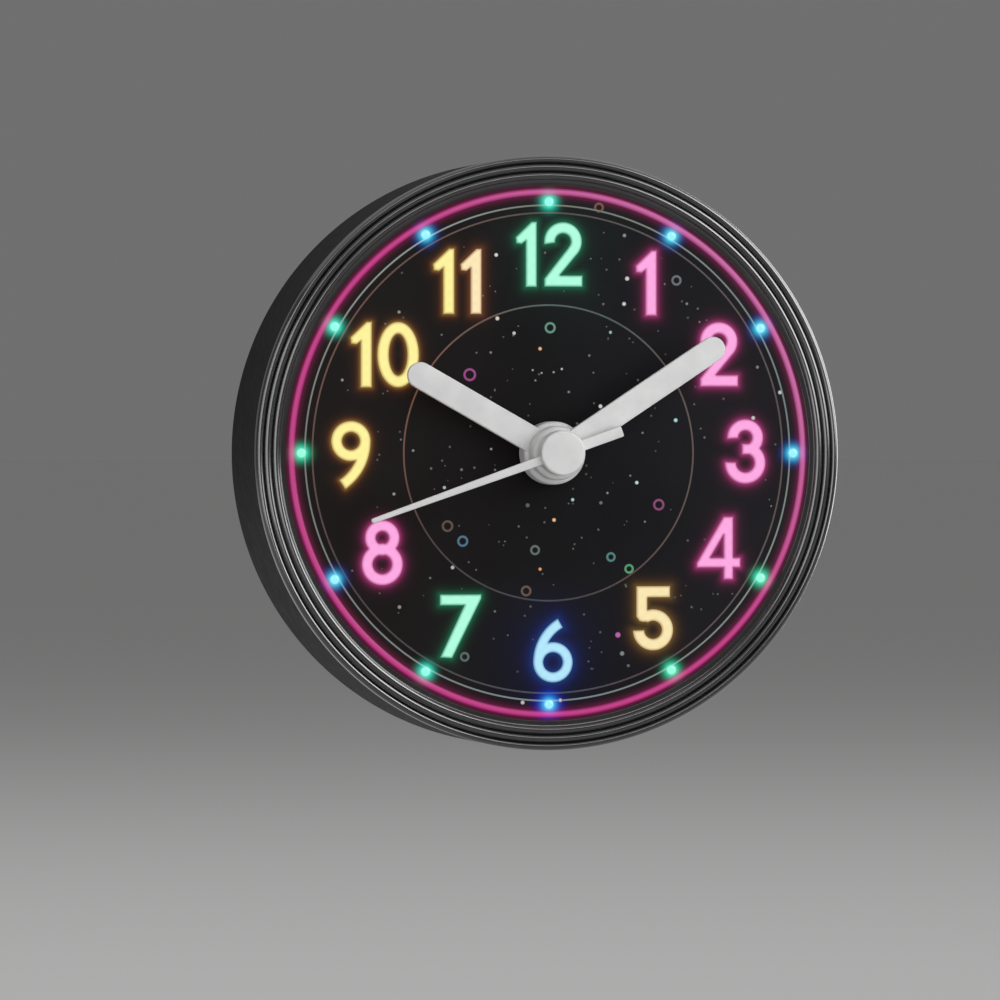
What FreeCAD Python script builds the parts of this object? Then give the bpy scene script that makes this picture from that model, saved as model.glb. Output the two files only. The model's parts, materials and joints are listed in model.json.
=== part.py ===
"""Round battery wall clock with a black dial, light-up numerals and a pink neon ring.

Millimetres, +Z up towards 12 o'clock, +X towards 3 o'clock, and the dial faces -Y.
The origin is the middle of the rear rim, in the plane that touches the wall. Every
depth below is a distance from that wall plane, so a depth of d lies at y = -d.
Clock angles are in degrees clockwise from 12 o'clock, as seen from the front.
"""

import FreeCAD, Part
import math
import os

os.makedirs("parts", exist_ok=True)
V = FreeCAD.Vector
FRONT = V(0, -1, 0)

# ---- driving dimensions: case and dial -------------------------------------------------
CASE_RADIUS = 75.0
CASE_WALL = 2.4
CASE_FRONT = 35.2           # front edge of the case wall, where the bezel sits
BEZEL_FRONT = 39.0          # top of the highest bezel ridge
BEZEL_INNER_RADIUS = 67.5
DIAL_FRONT = 37.5
DIAL_THICKNESS = 3.0
STACK_RADIUS = 71.2         # dial, diffuser, spacer ring and light board share this edge
COVER_BACK = 6.0            # rear cover, set this far into the case
COVER_THICKNESS = 2.0
LEDGE_INNER_RADIUS = 66.0
FIT = 0.05                  # radial clearance of turning fits and pressed inserts
GAP = 0.3                   # clearance beside anything else that moves

# ---- driving dimensions: dial furniture ------------------------------------------------
NUMERAL_CIRCLE = 50.0       # radius on which the numerals are centred
PROUD = 0.4                 # numerals, markers and neon tube stand this far off the dial
NEON_CIRCLE = 65.9
NEON_TUBE = 2.2             # diameter of the glowing tube
MARKER_CIRCLE = 63.4
MARKER_DIAMETER = 2.3
LED_SIZE = (3.5, 2.8, 1.2)

# ---- driving dimensions: light stack behind the dial -------------------------------------
DIAL_BACK = DIAL_FRONT - DIAL_THICKNESS
DIFFUSER_THICKNESS = 1.0
DIFFUSER_BACK = DIAL_BACK - DIFFUSER_THICKNESS
BOARD_BACK = 28.0
BOARD_FRONT = 29.6
LED_FRONT = BOARD_FRONT + LED_SIZE[2]

# ---- driving dimensions: hands ------------------------------------------------------------
HOUR_ANGLE, MINUTE_ANGLE, SECOND_ANGLE = 299.5, 56.6, 250.6
HOUR_LENGTH, MINUTE_LENGTH, SECOND_LENGTH = 42.8, 50.6, 51.2
HOUR_WIDTH, MINUTE_WIDTH = 6.6, 6.3
HOUR_BLADE, MINUTE_BLADE, SECOND_BLADE = 1.8, 1.6, 1.2
HOUR_HUB, MINUTE_HUB, SECOND_HUB = 15.9, 13.6, 11.3
HOUR_FRONT, MINUTE_FRONT, SECOND_FRONT = 45.2, 50.1, 55.2
SECOND_TAIL = 16.5
SECOND_TAIL_WIDTH = 2.7
SECOND_ROOT_WIDTH = 2.3
SECOND_TIP_WIDTH = 1.2

# ---- driving dimensions: movement ---------------------------------------------------------
MOVEMENT_SIZE = 56.0
MOVEMENT_BACK = 11.0
MOVEMENT_FRONT = 27.0
MOVEMENT_SPLIT = 20.0
SHELL = 1.2
PLATE_BACK, PLATE_FRONT = 17.0, 18.0
BUSH_DIAMETER = 7.9
BUSH_FRONT = 39.9
SECOND_SHAFT = 1.1
MINUTE_SHAFT = 2.8
HOUR_SHAFT = 4.6
PIVOT = 1.0
SETTING_SHAFT = 2.2
KNOB_DIAMETER = 12.0

# teeth and modules of the going train and the motion work
ROTOR_TEETH, INTERMEDIATE_TEETH, DRIVE_MODULE = 10, 60, 0.2
INTERMEDIATE_LEAVES, SECOND_TEETH, SECOND_MODULE = 12, 60, 0.25
SECOND_LEAVES, THIRD_TEETH = 8, 60
THIRD_LEAVES, CENTRE_TEETH, CENTRE_MODULE = 8, 64, 0.22
CANNON_LEAVES, MOTION_TEETH, MOTION_MODULE = 12, 36, 0.3
MOTION_LEAVES, HOUR_TEETH = 10, 40
SETTING_LEAVES = 10

# ---- driving dimensions: cells, door, switch -----------------------------------------------
CELL_DIAMETER = 14.2
CELL_BODY, CELL_NUB = 49.2, 1.2
MOVEMENT_CELL_Z, MOVEMENT_CELL_DEPTH = -19.6, 18.5
TRAY_BACK, TRAY_FRONT = 8.8, 24.6
TRAY_WIDTH, TRAY_HEIGHT, TRAY_Z = 58.0, 30.2, -45.9
TRAY_CELL_DEPTH = 16.3
TRAY_CELL_PITCH = 14.6
DOOR_WIDTH = 59.2
DOOR_TOP = -12.3
HINGE_Z, HINGE_DEPTH = -61.5, 7.0
HINGE_RADIUS, HINGE_PIN_RADIUS = 1.3, 0.7
SWITCH_TRAVEL = 4.0
SWITCH_DEPTH = 16.8
SCREW_CIRCLE = 68.2
SCREW_ANGLES = [30, 90, 150, 210, 270, 330]
HANGER_Z = 50.0
HANGER_BACK, HANGER_THICKNESS = 0.7, 0.9
KEYHOLE_ENTRY, KEYHOLE_SLOT = 8.0, 4.2
LEAD_DIAMETER = 1.2
RING_LEAD_X = 2.0           # the neon tube's leads leave it this far each side of 6 o'clock


# ---- small shape helpers --------------------------------------------------------------------
def rod(diameter, back, front, x=0.0, z=0.0):
    """Round bar along the clock axis between two depths."""
    return Part.makeCylinder(diameter / 2, front - back, V(x, -back, z), FRONT)


def ring(outer, inner, back, front, x=0.0, z=0.0):
    """Washer or tube, from its two diameters."""
    return rod(outer, back, front, x, z).cut(rod(inner, back - 1, front + 1, x, z))


def block(width, height, back, front, x=0.0, z=0.0):
    """Box centred on (x, z) between two depths."""
    return Part.makeBox(width, front - back, height, V(x - width / 2, -front, z - height / 2))


def soft_block(width, height, back, front, radius, x=0.0, z=0.0):
    """Block whose four edges along the clock axis are rounded."""
    solid = block(width, height, back, front, x, z)
    upright = [e for e in solid.Edges if abs(e.tangentAt(0).y) > 0.99]
    return solid.makeFillet(radius, upright)


def crossbar(diameter, start, end, depth, z):
    """Round bar along X."""
    return Part.makeCylinder(diameter / 2, end - start, V(start, -depth, z), V(1, 0, 0))


def clock_point(radius, angle):
    """(x, z) on a circle at a clock angle."""
    turn = math.radians(angle)
    return radius * math.sin(turn), radius * math.cos(turn)


def lathe(profile):
    """Body of revolution about the clock axis. Profile items are (radius, depth) for a
    straight edge, or (radius, depth, radius, depth) for an arc through the first pair."""
    corners = [V(item[-2], -item[-1], 0) for item in profile]
    edges = []
    for before, item, corner in zip([corners[-1]] + corners, profile, corners):
        if len(item) == 4:
            edges.append(Part.Arc(before, V(item[0], -item[1], 0), corner).toShape())
        else:
            edges.append(Part.makeLine(before, corner))
    return Part.Face(Part.Wire(edges)).revolve(V(0, 0, 0), V(0, 1, 0), 360)


def fuse(shapes):
    """One solid from touching shapes."""
    first, *others = shapes
    return first.multiFuse(others).removeSplitter() if others else first


def turned(shape, angle, x=0.0, z=0.0):
    """Shape turned clockwise, as seen from the front, about an axis at (x, z)."""
    copy = shape.copy()
    copy.rotate(V(x, 0, z), V(0, 1, 0), angle)
    return copy


def around(shape, angles):
    """Copies of a shape made at 12 o'clock, as a list."""
    return [turned(shape, angle) for angle in angles]


def save(name, shape):
    """Write one node, a single solid or a group of separate solids."""
    if isinstance(shape, list):
        shape = Part.makeCompound(shape)
    if not shape.isValid():
        raise ValueError(name + " is not a valid solid")
    shape.exportStep("parts/" + name + ".step")


# ---- numerals ---------------------------------------------------------------------------------
# A digit is a list of pieces about its own middle: ("poly", corners), ("arc", x, z, radius,
# width, start, end) with square ends, in degrees anticlockwise from +X, or ("oval", x, z,
# half width, half height, width).
DIGITS = {
    0: [("oval", 0, 0, 5.3, 8.2, 2.9)],
    1: [("poly", [(-1.4, -8.2), (1.4, -8.2), (1.4, 8.2), (0.1, 8.2), (-4.0, 4.3),
                  (-3.8, 2.8), (-2.5, 2.6), (-1.4, 3.4)])],
    2: [("arc", 0, 3.3, 3.45, 2.8, -45, 189),
        ("poly", [(3.7, 0.2), (-2.5, -7.2), (-4.8, -6.1), (1.5, 1.8)]),
        ("poly", [(-4.8, -8.1), (-4.8, -6.1), (-4.1, -5.3), (5.0, -5.3), (5.0, -8.1)])],
    3: [("arc", 0, 3.5, 3.25, 2.8, -55, 183), ("arc", 0, -2.9, 3.85, 2.8, -182, 72),
        ("poly", [(-0.8, -0.7), (-0.8, 1.9), (2.4, 1.9), (2.4, -0.7)])],
    4: [("poly", [(-1.2, 7.9), (1.2, 7.9), (1.2, -7.9), (-1.2, -7.9)]),
        ("poly", [(-8.2, -4.9), (-8.2, -3.8), (-1.2, 7.9), (-0.8, 4.2), (-5.1, -2.9)]),
        ("poly", [(-8.2, -4.9), (3.1, -4.9), (3.1, -2.5), (-7.4, -2.5)])],
    5: [("poly", [(-4.3, 5.3), (-4.3, 8.1), (4.4, 8.1), (4.4, 5.3)]),
        ("poly", [(-4.3, 8.1), (-1.5, 8.1), (-1.5, 0.4), (-2.6, -0.9), (-3.5, -0.7),
                  (-4.3, 0.4)]),
        ("arc", 0, -2.95, 3.75, 2.9, -178, 128)],
    6: [("arc", 0, -3.1, 3.8, 2.6, 0, 360), ("arc", 7.6, -3.1, 11.4, 2.6, 120, 180)],
    7: [("poly", [(-5.3, 5.2), (-5.3, 7.9), (5.3, 7.9), (5.3, 6.9), (-2.2, -8.1),
                  (-5.2, -7.9), (1.0, 5.2)])],
    8: [("arc", 0, 3.7, 3.05, 2.7, 0, 360), ("arc", 0, -2.95, 3.85, 2.75, 0, 360)],
    9: [("arc", 0, 3.1, 3.65, 2.7, 0, 360), ("arc", -9.5, 3.1, 13.15, 2.7, -56, 0)],
}

# hour, rise above the numeral's place, digits as (digit, offset to the right, colour)
NUMERALS = [
    (1, -0.3, [(1, 1.4, "pink")]),
    (2, 0.0, [(2, 0.7, "pink")]),
    (3, 0.4, [(3, 0.9, "pink")]),
    (4, 0.9, [(4, 3.2, "pink")]),
    (5, 1.5, [(5, 1.9, "yellow")]),
    (6, 0.3, [(6, 1.0, "blue")]),
    (7, -0.2, [(7, 2.25, "green")]),
    (8, 0.0, [(8, 0.5, "pink")]),
    (9, -0.1, [(9, -0.8, "yellow")]),
    (10, -0.3, [(1, -3.6, "yellow"), (0, 4.55, "yellow")]),
    (11, -0.1, [(1, -0.8, "yellow"), (1, 6.2, "peach")]),
    (12, 0.1, [(1, -4.6, "green"), (2, 3.6, "green")]),
]


def poly_piece(corners, back, front, x, z):
    outline = [V(x + px, -back, z + pz) for px, pz in corners]
    return Part.Face(Part.makePolygon(outline + outline[:1])).extrude(V(0, back - front, 0))


def arc_piece(cx, cz, radius, width, start, end, back, front, x, z):
    """Bar along an arc, or a full ring."""
    full = ring(2 * radius + width, 2 * radius - width, back, front, x + cx, z + cz)
    if end - start >= 360:
        return full
    sweep = math.radians(end - start)
    reach = 2 * (radius + width)
    corners = [(cx, cz)]
    for step in range(5):
        turn = math.radians(start) + sweep * step / 4
        corners.append((cx + reach * math.cos(turn), cz + reach * math.sin(turn)))
    return full.common(poly_piece(corners, back, front, x, z))


def oval_piece(cx, cz, half_width, half_height, width, back, front, x, z):
    """Upright oval ring."""
    middle = V(x + cx, -back, z + cz)
    solids = []
    for inset in (0, width):
        tall, wide = half_height - inset, half_width - inset
        oval = Part.Ellipse(middle + V(0, 0, tall), middle + V(wide, 0, 0), middle)
        face = Part.Face(Part.Wire(oval.toShape()))
        solids.append(face.extrude(V(0, back - front, 0)))
    return solids[0].cut(solids[1])


def digit_solid(digit, back, front, x, z):
    """One digit as a solid, centred on (x, z)."""
    makers = {"poly": poly_piece, "arc": arc_piece, "oval": oval_piece}
    return fuse([makers[kind](*sizes, back, front, x, z) for kind, *sizes in DIGITS[digit]])


def numeral_solids(colour, back, front):
    """Every digit of one colour, or of all colours."""
    solids = []
    for hour, rise, digits in NUMERALS:
        x, z = clock_point(NUMERAL_CIRCLE, 30 * hour)
        for digit, offset, own in digits:
            if colour in (own, "all"):
                solids.append(digit_solid(digit, back, front, x + offset, z + rise))
    return solids


# ---- toothed wheels ----------------------------------------------------------------------------
def gear(teeth, module, back, front, centre, tooth_at, bore=0.0):
    """Spur wheel with straight-flanked teeth. One tooth points along tooth_at, in degrees
    anticlockwise from +X as seen from the front."""
    pitch_radius = teeth * module / 2
    pitch = math.pi * module
    levels = [
        (pitch_radius - module, 0.27 * pitch),
        (pitch_radius + 0.8 * module, 0.11 * pitch),
    ]
    (root, root_half), (tip, tip_half) = levels
    corners = []
    for tooth in range(teeth):
        middle = math.radians(tooth_at + 360 * tooth / teeth)
        outline = [(root, -root_half), (tip, -tip_half), (tip, tip_half), (root, root_half)]
        for radius, half in outline:
            turn = middle + half / radius
            corners.append(V(radius * math.cos(turn), 0, radius * math.sin(turn)))
    corners.append(corners[0])
    wheel = Part.Face(Part.makePolygon(corners)).extrude(V(0, back - front, 0))
    wheel.translate(V(centre[0], -back, centre[1]))
    return wheel.cut(rod(bore, back - 1, front + 1, *centre)) if bore else wheel


def heading(start, end):
    """Direction from one arbor to another, in degrees anticlockwise from +X."""
    return math.degrees(math.atan2(end[1] - start[1], end[0] - start[0]))


def stepped(start, distance, angle):
    """Arbor position at a distance and direction from another."""
    turn = math.radians(angle)
    return start[0] + distance * math.cos(turn), start[1] + distance * math.sin(turn)


CENTRE = (0.0, 0.0)
THIRD_DISTANCE = CENTRE_MODULE * (CENTRE_TEETH + THIRD_LEAVES) / 2
THIRD_MODULE = 2 * THIRD_DISTANCE / (THIRD_TEETH + SECOND_LEAVES)
THIRD = stepped(CENTRE, THIRD_DISTANCE, 0)
INTERMEDIATE = stepped(CENTRE, SECOND_MODULE * (SECOND_TEETH + INTERMEDIATE_LEAVES) / 2, 70)
ROTOR = stepped(INTERMEDIATE, DRIVE_MODULE * (INTERMEDIATE_TEETH + ROTOR_TEETH) / 2, 120)
MOTION_DISTANCE = MOTION_MODULE * (MOTION_TEETH + CANNON_LEAVES) / 2
HOUR_MODULE = 2 * MOTION_DISTANCE / (HOUR_TEETH + MOTION_LEAVES)
MOTION = stepped(CENTRE, MOTION_DISTANCE, 200)
SETTING = stepped(MOTION, MOTION_MODULE * (MOTION_TEETH + SETTING_LEAVES) / 2, 160)


# ---- case, bezel and dial -------------------------------------------------------------------------
def case_body():
    """Round wall with an inner ledge, six screw bosses, a switch slot and switch clips."""
    inner = CASE_RADIUS - CASE_WALL
    ledge_back = BOARD_BACK - 2.0
    shell = lathe([
        (inner, 0), (CASE_RADIUS - 0.8, 0),
        (CASE_RADIUS - 0.234, 0.234, CASE_RADIUS, 0.8),
        (CASE_RADIUS, CASE_FRONT), (inner, CASE_FRONT),
        (inner, BOARD_BACK), (LEDGE_INNER_RADIUS, BOARD_BACK),
        (LEDGE_INNER_RADIUS, ledge_back), (inner, ledge_back),
    ])
    boss_back = COVER_BACK + COVER_THICKNESS
    boss = rod(6.4, boss_back, ledge_back + 0.5, 0, SCREW_CIRCLE)
    rib = block(1.6, inner + 0.6 - SCREW_CIRCLE, boss_back, ledge_back + 0.5,
                0, (inner + 0.6 + SCREW_CIRCLE) / 2)
    pilot = rod(2.5, boss_back - 1, ledge_back - 2, 0, SCREW_CIRCLE)
    post = boss.fuse(rib).common(rod(2 * inner + 1, 0, CASE_FRONT)).cut(pilot)
    clips = [block(1.2, 7.0, 13.4, 20.2, side * 7.0, -69.7) for side in (-1, 1)]
    clips = [clip.common(rod(2 * inner + 1, 0, CASE_FRONT)) for clip in clips]
    body = fuse([shell] + around(post, SCREW_ANGLES) + clips)
    slot = block(SWITCH_TRAVEL + 3.0 + 2 * GAP, 8.0, SWITCH_DEPTH - 1.5 - GAP,
                 SWITCH_DEPTH + 1.5 + GAP, 0, -CASE_RADIUS)
    lead_notch = block(14.0, 10.0, ledge_back - 1, BOARD_BACK + 1, 0, -LEDGE_INNER_RADIUS)
    return body.cut(slot).cut(lead_notch)


def bezel_ring():
    """Snap-on ring with three rounded ridges and a skirt inside the case wall."""
    skirt_outer = CASE_RADIUS - CASE_WALL - 0.1
    skirt_inner = STACK_RADIUS + 0.2
    ridge_base = BEZEL_FRONT - 1.0
    return lathe([
        (skirt_inner, 30.2), (skirt_outer, 30.2), (skirt_outer, CASE_FRONT),
        (CASE_RADIUS - 0.5, CASE_FRONT), (CASE_RADIUS - 0.5, CASE_FRONT + 0.4),
        (CASE_RADIUS, CASE_FRONT + 0.4), (CASE_RADIUS, ridge_base - 0.2),
        (CASE_RADIUS - 0.35, BEZEL_FRONT - 0.35, CASE_RADIUS - 1.0, BEZEL_FRONT - 0.1),
        (CASE_RADIUS - 1.65, BEZEL_FRONT - 0.35, CASE_RADIUS - 1.85, ridge_base),
        (CASE_RADIUS - 2.15, BEZEL_FRONT - 0.2, CASE_RADIUS - 2.95, BEZEL_FRONT),
        (CASE_RADIUS - 3.75, BEZEL_FRONT - 0.2, CASE_RADIUS - 4.05, ridge_base),
        (CASE_RADIUS - 4.45, BEZEL_FRONT - 0.3, CASE_RADIUS - 5.35, BEZEL_FRONT - 0.1),
        (CASE_RADIUS - 6.6, BEZEL_FRONT - 0.45, BEZEL_INNER_RADIUS, DIAL_FRONT + 0.3),
        (BEZEL_INNER_RADIUS, DIAL_FRONT), (skirt_inner, DIAL_FRONT),
    ])


def cut_dial():
    """Black panel with numeral openings, marker holes, a tube groove and lead holes. The
    openings leave the panel and, apart from it, the middles of 0, 4, 6, 8 and 9."""
    panel = rod(2 * STACK_RADIUS, DIAL_BACK, DIAL_FRONT)
    cuts = numeral_solids("all", DIAL_BACK - 1, DIAL_FRONT + 1)
    hole = rod(MARKER_DIAMETER + 2 * FIT, DIAL_BACK - 1, DIAL_FRONT + 1, 0, MARKER_CIRCLE)
    cuts += around(hole, range(0, 360, 30))
    reach = NEON_TUBE / 2 + FIT
    groove_floor = DIAL_FRONT + PROUD - NEON_TUBE - 0.1
    cuts.append(ring(2 * (NEON_CIRCLE + reach), 2 * (NEON_CIRCLE - reach),
                     groove_floor, DIAL_FRONT + 1))
    cuts.append(rod(BUSH_DIAMETER + 0.3, DIAL_BACK - 1, DIAL_FRONT + 1))
    for cut in cuts + lead_holes():
        panel = panel.cut(cut)
    return sorted(panel.Solids, key=lambda solid: -solid.Volume)


def dial_panel():
    return cut_dial()[0]


def numeral_counters():
    """The small black middles of the closed digits, held by the inserts round them."""
    return cut_dial()[1:]


def neon_ring():
    """Glowing tube bent into a full circle, sunk in the dial groove."""
    tube = Part.makeTorus(NEON_CIRCLE, NEON_TUBE / 2, V(0, 0, 0), FRONT)
    tube.translate(V(0, -(DIAL_FRONT + PROUD - NEON_TUBE / 2), 0))
    return tube


def marker_lens():
    """Clear rod with a domed front that carries light from an LED to the dial face."""
    rim = DIAL_FRONT + 0.1
    dome_height = DIAL_FRONT + PROUD - rim
    radius = MARKER_DIAMETER / 2
    ball = (radius * radius + dome_height * dome_height) / (2 * dome_height)
    dome = Part.makeSphere(ball, V(0, -(rim + dome_height - ball), MARKER_CIRCLE))
    stem = rod(MARKER_DIAMETER, LED_FRONT + 0.3, rim + dome_height + 1, 0, MARKER_CIRCLE)
    base = rod(MARKER_DIAMETER, LED_FRONT + 0.3, rim, 0, MARKER_CIRCLE)
    return base.fuse(stem.common(dome)).removeSplitter()


def bored(sheet, holes):
    """Sheet with every hole cut out of it."""
    for hole in holes:
        sheet = sheet.cut(hole)
    return sheet


def lead_holes():
    """Two bores for the leads of the neon tube, through every layer behind it."""
    bore = LEAD_DIAMETER + 0.4
    return [rod(bore, BOARD_BACK - 1, DIAL_FRONT, side * RING_LEAD_X, -NEON_CIRCLE)
            for side in (-1, 1)]


def diffuser_sheet():
    """Opal sheet against the back of the dial."""
    sheet = ring(2 * STACK_RADIUS, BUSH_DIAMETER + 0.3, DIFFUSER_BACK, DIAL_BACK)
    marker_hole = rod(MARKER_DIAMETER + 0.2, 0, BEZEL_FRONT, 0, MARKER_CIRCLE)
    return bored(sheet, around(marker_hole, range(0, 360, 30)) + lead_holes())


def spacer_ring():
    """White ring that keeps the light board away from the diffuser."""
    return ring(2 * STACK_RADIUS, 2 * (MARKER_CIRCLE + 4.2), BOARD_FRONT, DIFFUSER_BACK)


def centre_spacer():
    return ring(16.0, BUSH_DIAMETER + 0.3, BOARD_FRONT, DIFFUSER_BACK)


def light_board():
    """Circuit board that carries the LEDs, with a slot where the neon leads turn away."""
    board = ring(2 * STACK_RADIUS, BUSH_DIAMETER + 0.3, BOARD_BACK, BOARD_FRONT)
    slot = block(4 * RING_LEAD_X, 2.0, BOARD_BACK - 1, BOARD_FRONT + 1, 0.5, -NEON_CIRCLE)
    return board.cut(slot)


def leds():
    """One LED behind each marker, two behind each numeral and a ring behind the stars."""
    width, height, _ = LED_SIZE
    lamps = around(block(width, height, BOARD_FRONT, LED_FRONT, 0, MARKER_CIRCLE),
                   range(0, 360, 30))
    for side in (-1, 1):
        lamp = block(width, height, BOARD_FRONT, LED_FRONT, 4.5 * side, NUMERAL_CIRCLE)
        lamps += around(lamp, range(0, 360, 30))
    lamps += around(block(width, height, BOARD_FRONT, LED_FRONT, 0, 26.0), range(0, 360, 60))
    return lamps


def bush_washer():
    return ring(12.6, BUSH_DIAMETER + 0.2, DIAL_FRONT, DIAL_FRONT + 0.5)


def bush_nut():
    """Hexagon nut on the movement's bush, under the hour hand's hub."""
    back, front = DIAL_FRONT + 0.5, DIAL_FRONT + 2.3
    corners = [V(6.2 * math.cos(math.radians(60 * i)), -back,
                 6.2 * math.sin(math.radians(60 * i))) for i in range(7)]
    body = Part.Face(Part.makePolygon(corners)).extrude(V(0, back - front, 0))
    return body.cut(rod(BUSH_DIAMETER + 2 * FIT, back - 1, front + 1))


def mounting_gasket():
    return ring(22.0, BUSH_DIAMETER + 0.3, MOVEMENT_FRONT, BOARD_BACK)


# ---- hands -----------------------------------------------------------------------------------------
def rounded_blade(width, length, back, front):
    """Straight blade towards 12 o'clock with a full-round tip."""
    bar = block(width, length - width / 2, back, front, 0, (length - width / 2) / 2)
    return bar.fuse(rod(width, back, front, 0, length - width / 2))


def hour_hand():
    """Blade on a drum-shaped hub that covers the bush nut."""
    hub_back = DIAL_FRONT + 1.1
    hub = rod(HOUR_HUB, hub_back, HOUR_FRONT)
    hub = hub.makeFillet(0.4, [hub.Edges[i] for i in round_rims(hub, HOUR_FRONT)])
    blade = rounded_blade(HOUR_WIDTH, HOUR_LENGTH, HOUR_FRONT - HOUR_BLADE, HOUR_FRONT)
    cup = rod(13.6, hub_back - 1, BUSH_FRONT + 0.7)
    bore = rod(HOUR_SHAFT, hub_back, HOUR_FRONT - 1.2)
    centre = rod(MINUTE_SHAFT + 2 * GAP, hub_back, HOUR_FRONT + 1)
    hand = hub.fuse(blade).removeSplitter().cut(cup).cut(bore).cut(centre)
    return turned(hand, HOUR_ANGLE)


def round_rims(solid, depth):
    """Indices of the circular edges of a solid at one depth."""
    return [i for i, e in enumerate(solid.Edges)
            if len(e.Vertexes) == 1 and abs(e.CenterOfMass.y + depth) < 1e-6]


def minute_hand():
    hub_back = HOUR_FRONT + 0.4
    hub = rod(MINUTE_HUB, hub_back, MINUTE_FRONT)
    hub = hub.makeFillet(0.4, [hub.Edges[i] for i in round_rims(hub, MINUTE_FRONT)])
    blade = rounded_blade(MINUTE_WIDTH, MINUTE_LENGTH, MINUTE_FRONT - MINUTE_BLADE, MINUTE_FRONT)
    bore = rod(MINUTE_SHAFT, hub_back - 1, MINUTE_FRONT - 0.8)
    centre = rod(SECOND_SHAFT + 2 * GAP, hub_back - 1, MINUTE_FRONT + 1)
    return turned(hub.fuse(blade).removeSplitter().cut(bore).cut(centre), MINUTE_ANGLE)


def second_hand():
    """Tapered needle with a square-ended tail and a round cap."""
    hub_back = MINUTE_FRONT + 0.5
    cap = rod(SECOND_HUB, hub_back, SECOND_FRONT)
    cap = cap.makeFillet(0.5, [cap.Edges[i] for i in round_rims(cap, SECOND_FRONT)])
    back, front = SECOND_FRONT - 3.2, SECOND_FRONT - 3.2 + SECOND_BLADE
    corners = [
        (SECOND_ROOT_WIDTH / 2, 0), (SECOND_TIP_WIDTH / 2, SECOND_LENGTH),
        (-SECOND_TIP_WIDTH / 2, SECOND_LENGTH), (-SECOND_ROOT_WIDTH / 2, 0),
    ]
    outline = [V(x, -back, z) for x, z in corners]
    needle = Part.Face(Part.makePolygon(outline + outline[:1])).extrude(V(0, back - front, 0))
    tail = block(SECOND_TAIL_WIDTH, SECOND_TAIL, back, front, 0, -SECOND_TAIL / 2)
    bore = rod(SECOND_SHAFT, hub_back - 1, SECOND_FRONT - 1.5)
    return turned(cap.fuse(needle).fuse(tail).removeSplitter().cut(bore), SECOND_ANGLE)


# ---- movement shells -----------------------------------------------------------------------------------
INSIDE = MOVEMENT_SIZE - 2 * SHELL
BAY_WALL_Z = -11.7          # middle of the wall between the wheels and the cell bay
CORNER_POSTS = [(-24.0, 24.0), (24.0, 24.0), (-24.0, -8.6), (24.0, -8.6)]
COIL_Z, COIL_DEPTH = 22.5, 19.8


def pivot_boss(point, back, front, hole):
    return ring(hole + 1.8, hole, back, front, *point)


def movement_back_shell():
    """Rear half of the movement case, open behind the cell, with three pivot bosses."""
    wall = MOVEMENT_BACK + SHELL
    shell = soft_block(MOVEMENT_SIZE, MOVEMENT_SIZE, MOVEMENT_BACK, MOVEMENT_SPLIT, 4.0)
    shell = shell.cut(soft_block(INSIDE, INSIDE, wall, MOVEMENT_SPLIT + 1, 2.8))
    parts = [shell, block(INSIDE + 0.4, 1.0, wall - 0.2, MOVEMENT_SPLIT, 0, BAY_WALL_Z)]
    for point in (CENTRE, INTERMEDIATE, ROTOR):
        parts.append(rod(PIVOT + 1.9, wall - 0.2, wall + 0.8, *point))
    parts += [rod(3.4, wall - 0.2, PLATE_BACK, *post) for post in CORNER_POSTS]
    shell = fuse(parts)
    window_height = INSIDE / 2 + BAY_WALL_Z - 0.7
    shell = shell.cut(block(INSIDE - 1.6, window_height, MOVEMENT_BACK - 1, wall + 0.01,
                            0, BAY_WALL_Z - 0.5 - window_height / 2))
    for point, hole in ((CENTRE, SECOND_SHAFT), (INTERMEDIATE, PIVOT), (ROTOR, 0.8)):
        shell = shell.cut(rod(hole + 2 * FIT, wall - 0.4, wall + 1, *point))
    return shell.cut(rod(SETTING_SHAFT + 2 * FIT, MOVEMENT_BACK - 1, wall + 1, *SETTING))


def movement_front_shell():
    """Front half of the movement case, with the threaded bush and the front pivots."""
    wall = MOVEMENT_FRONT - SHELL
    shell = soft_block(MOVEMENT_SIZE, MOVEMENT_SIZE, MOVEMENT_SPLIT, MOVEMENT_FRONT, 4.0)
    shell = shell.cut(soft_block(INSIDE, INSIDE, MOVEMENT_SPLIT - 1, wall, 2.8))
    parts = [
        shell,
        block(INSIDE + 0.4, 1.0, MOVEMENT_SPLIT, wall + 0.2, 0, BAY_WALL_Z),
        rod(BUSH_DIAMETER, wall, BUSH_FRONT),
        rod(PIVOT + 1.9, 21.8, wall + 0.2, *THIRD),
        rod(1.6, 21.3, wall + 0.2, *MOTION),
        rod(PIVOT + 1.9, 21.4, wall + 0.2, *ROTOR),
        rod(SETTING_SHAFT + 1.9, 23.4, wall + 0.2, *SETTING),
    ]
    parts += [rod(3.4, PLATE_FRONT, wall + 0.2, *post) for post in CORNER_POSTS]
    shell = fuse(parts)
    shell = shell.cut(rod(HOUR_SHAFT + 2 * FIT, wall - 1, BUSH_FRONT + 1))
    for point, hole, start in ((THIRD, PIVOT, 21), (ROTOR, 0.8, 21), (SETTING, SETTING_SHAFT, 23)):
        shell = shell.cut(rod(hole + 2 * FIT, start, wall, *point))
    return shell


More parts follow.
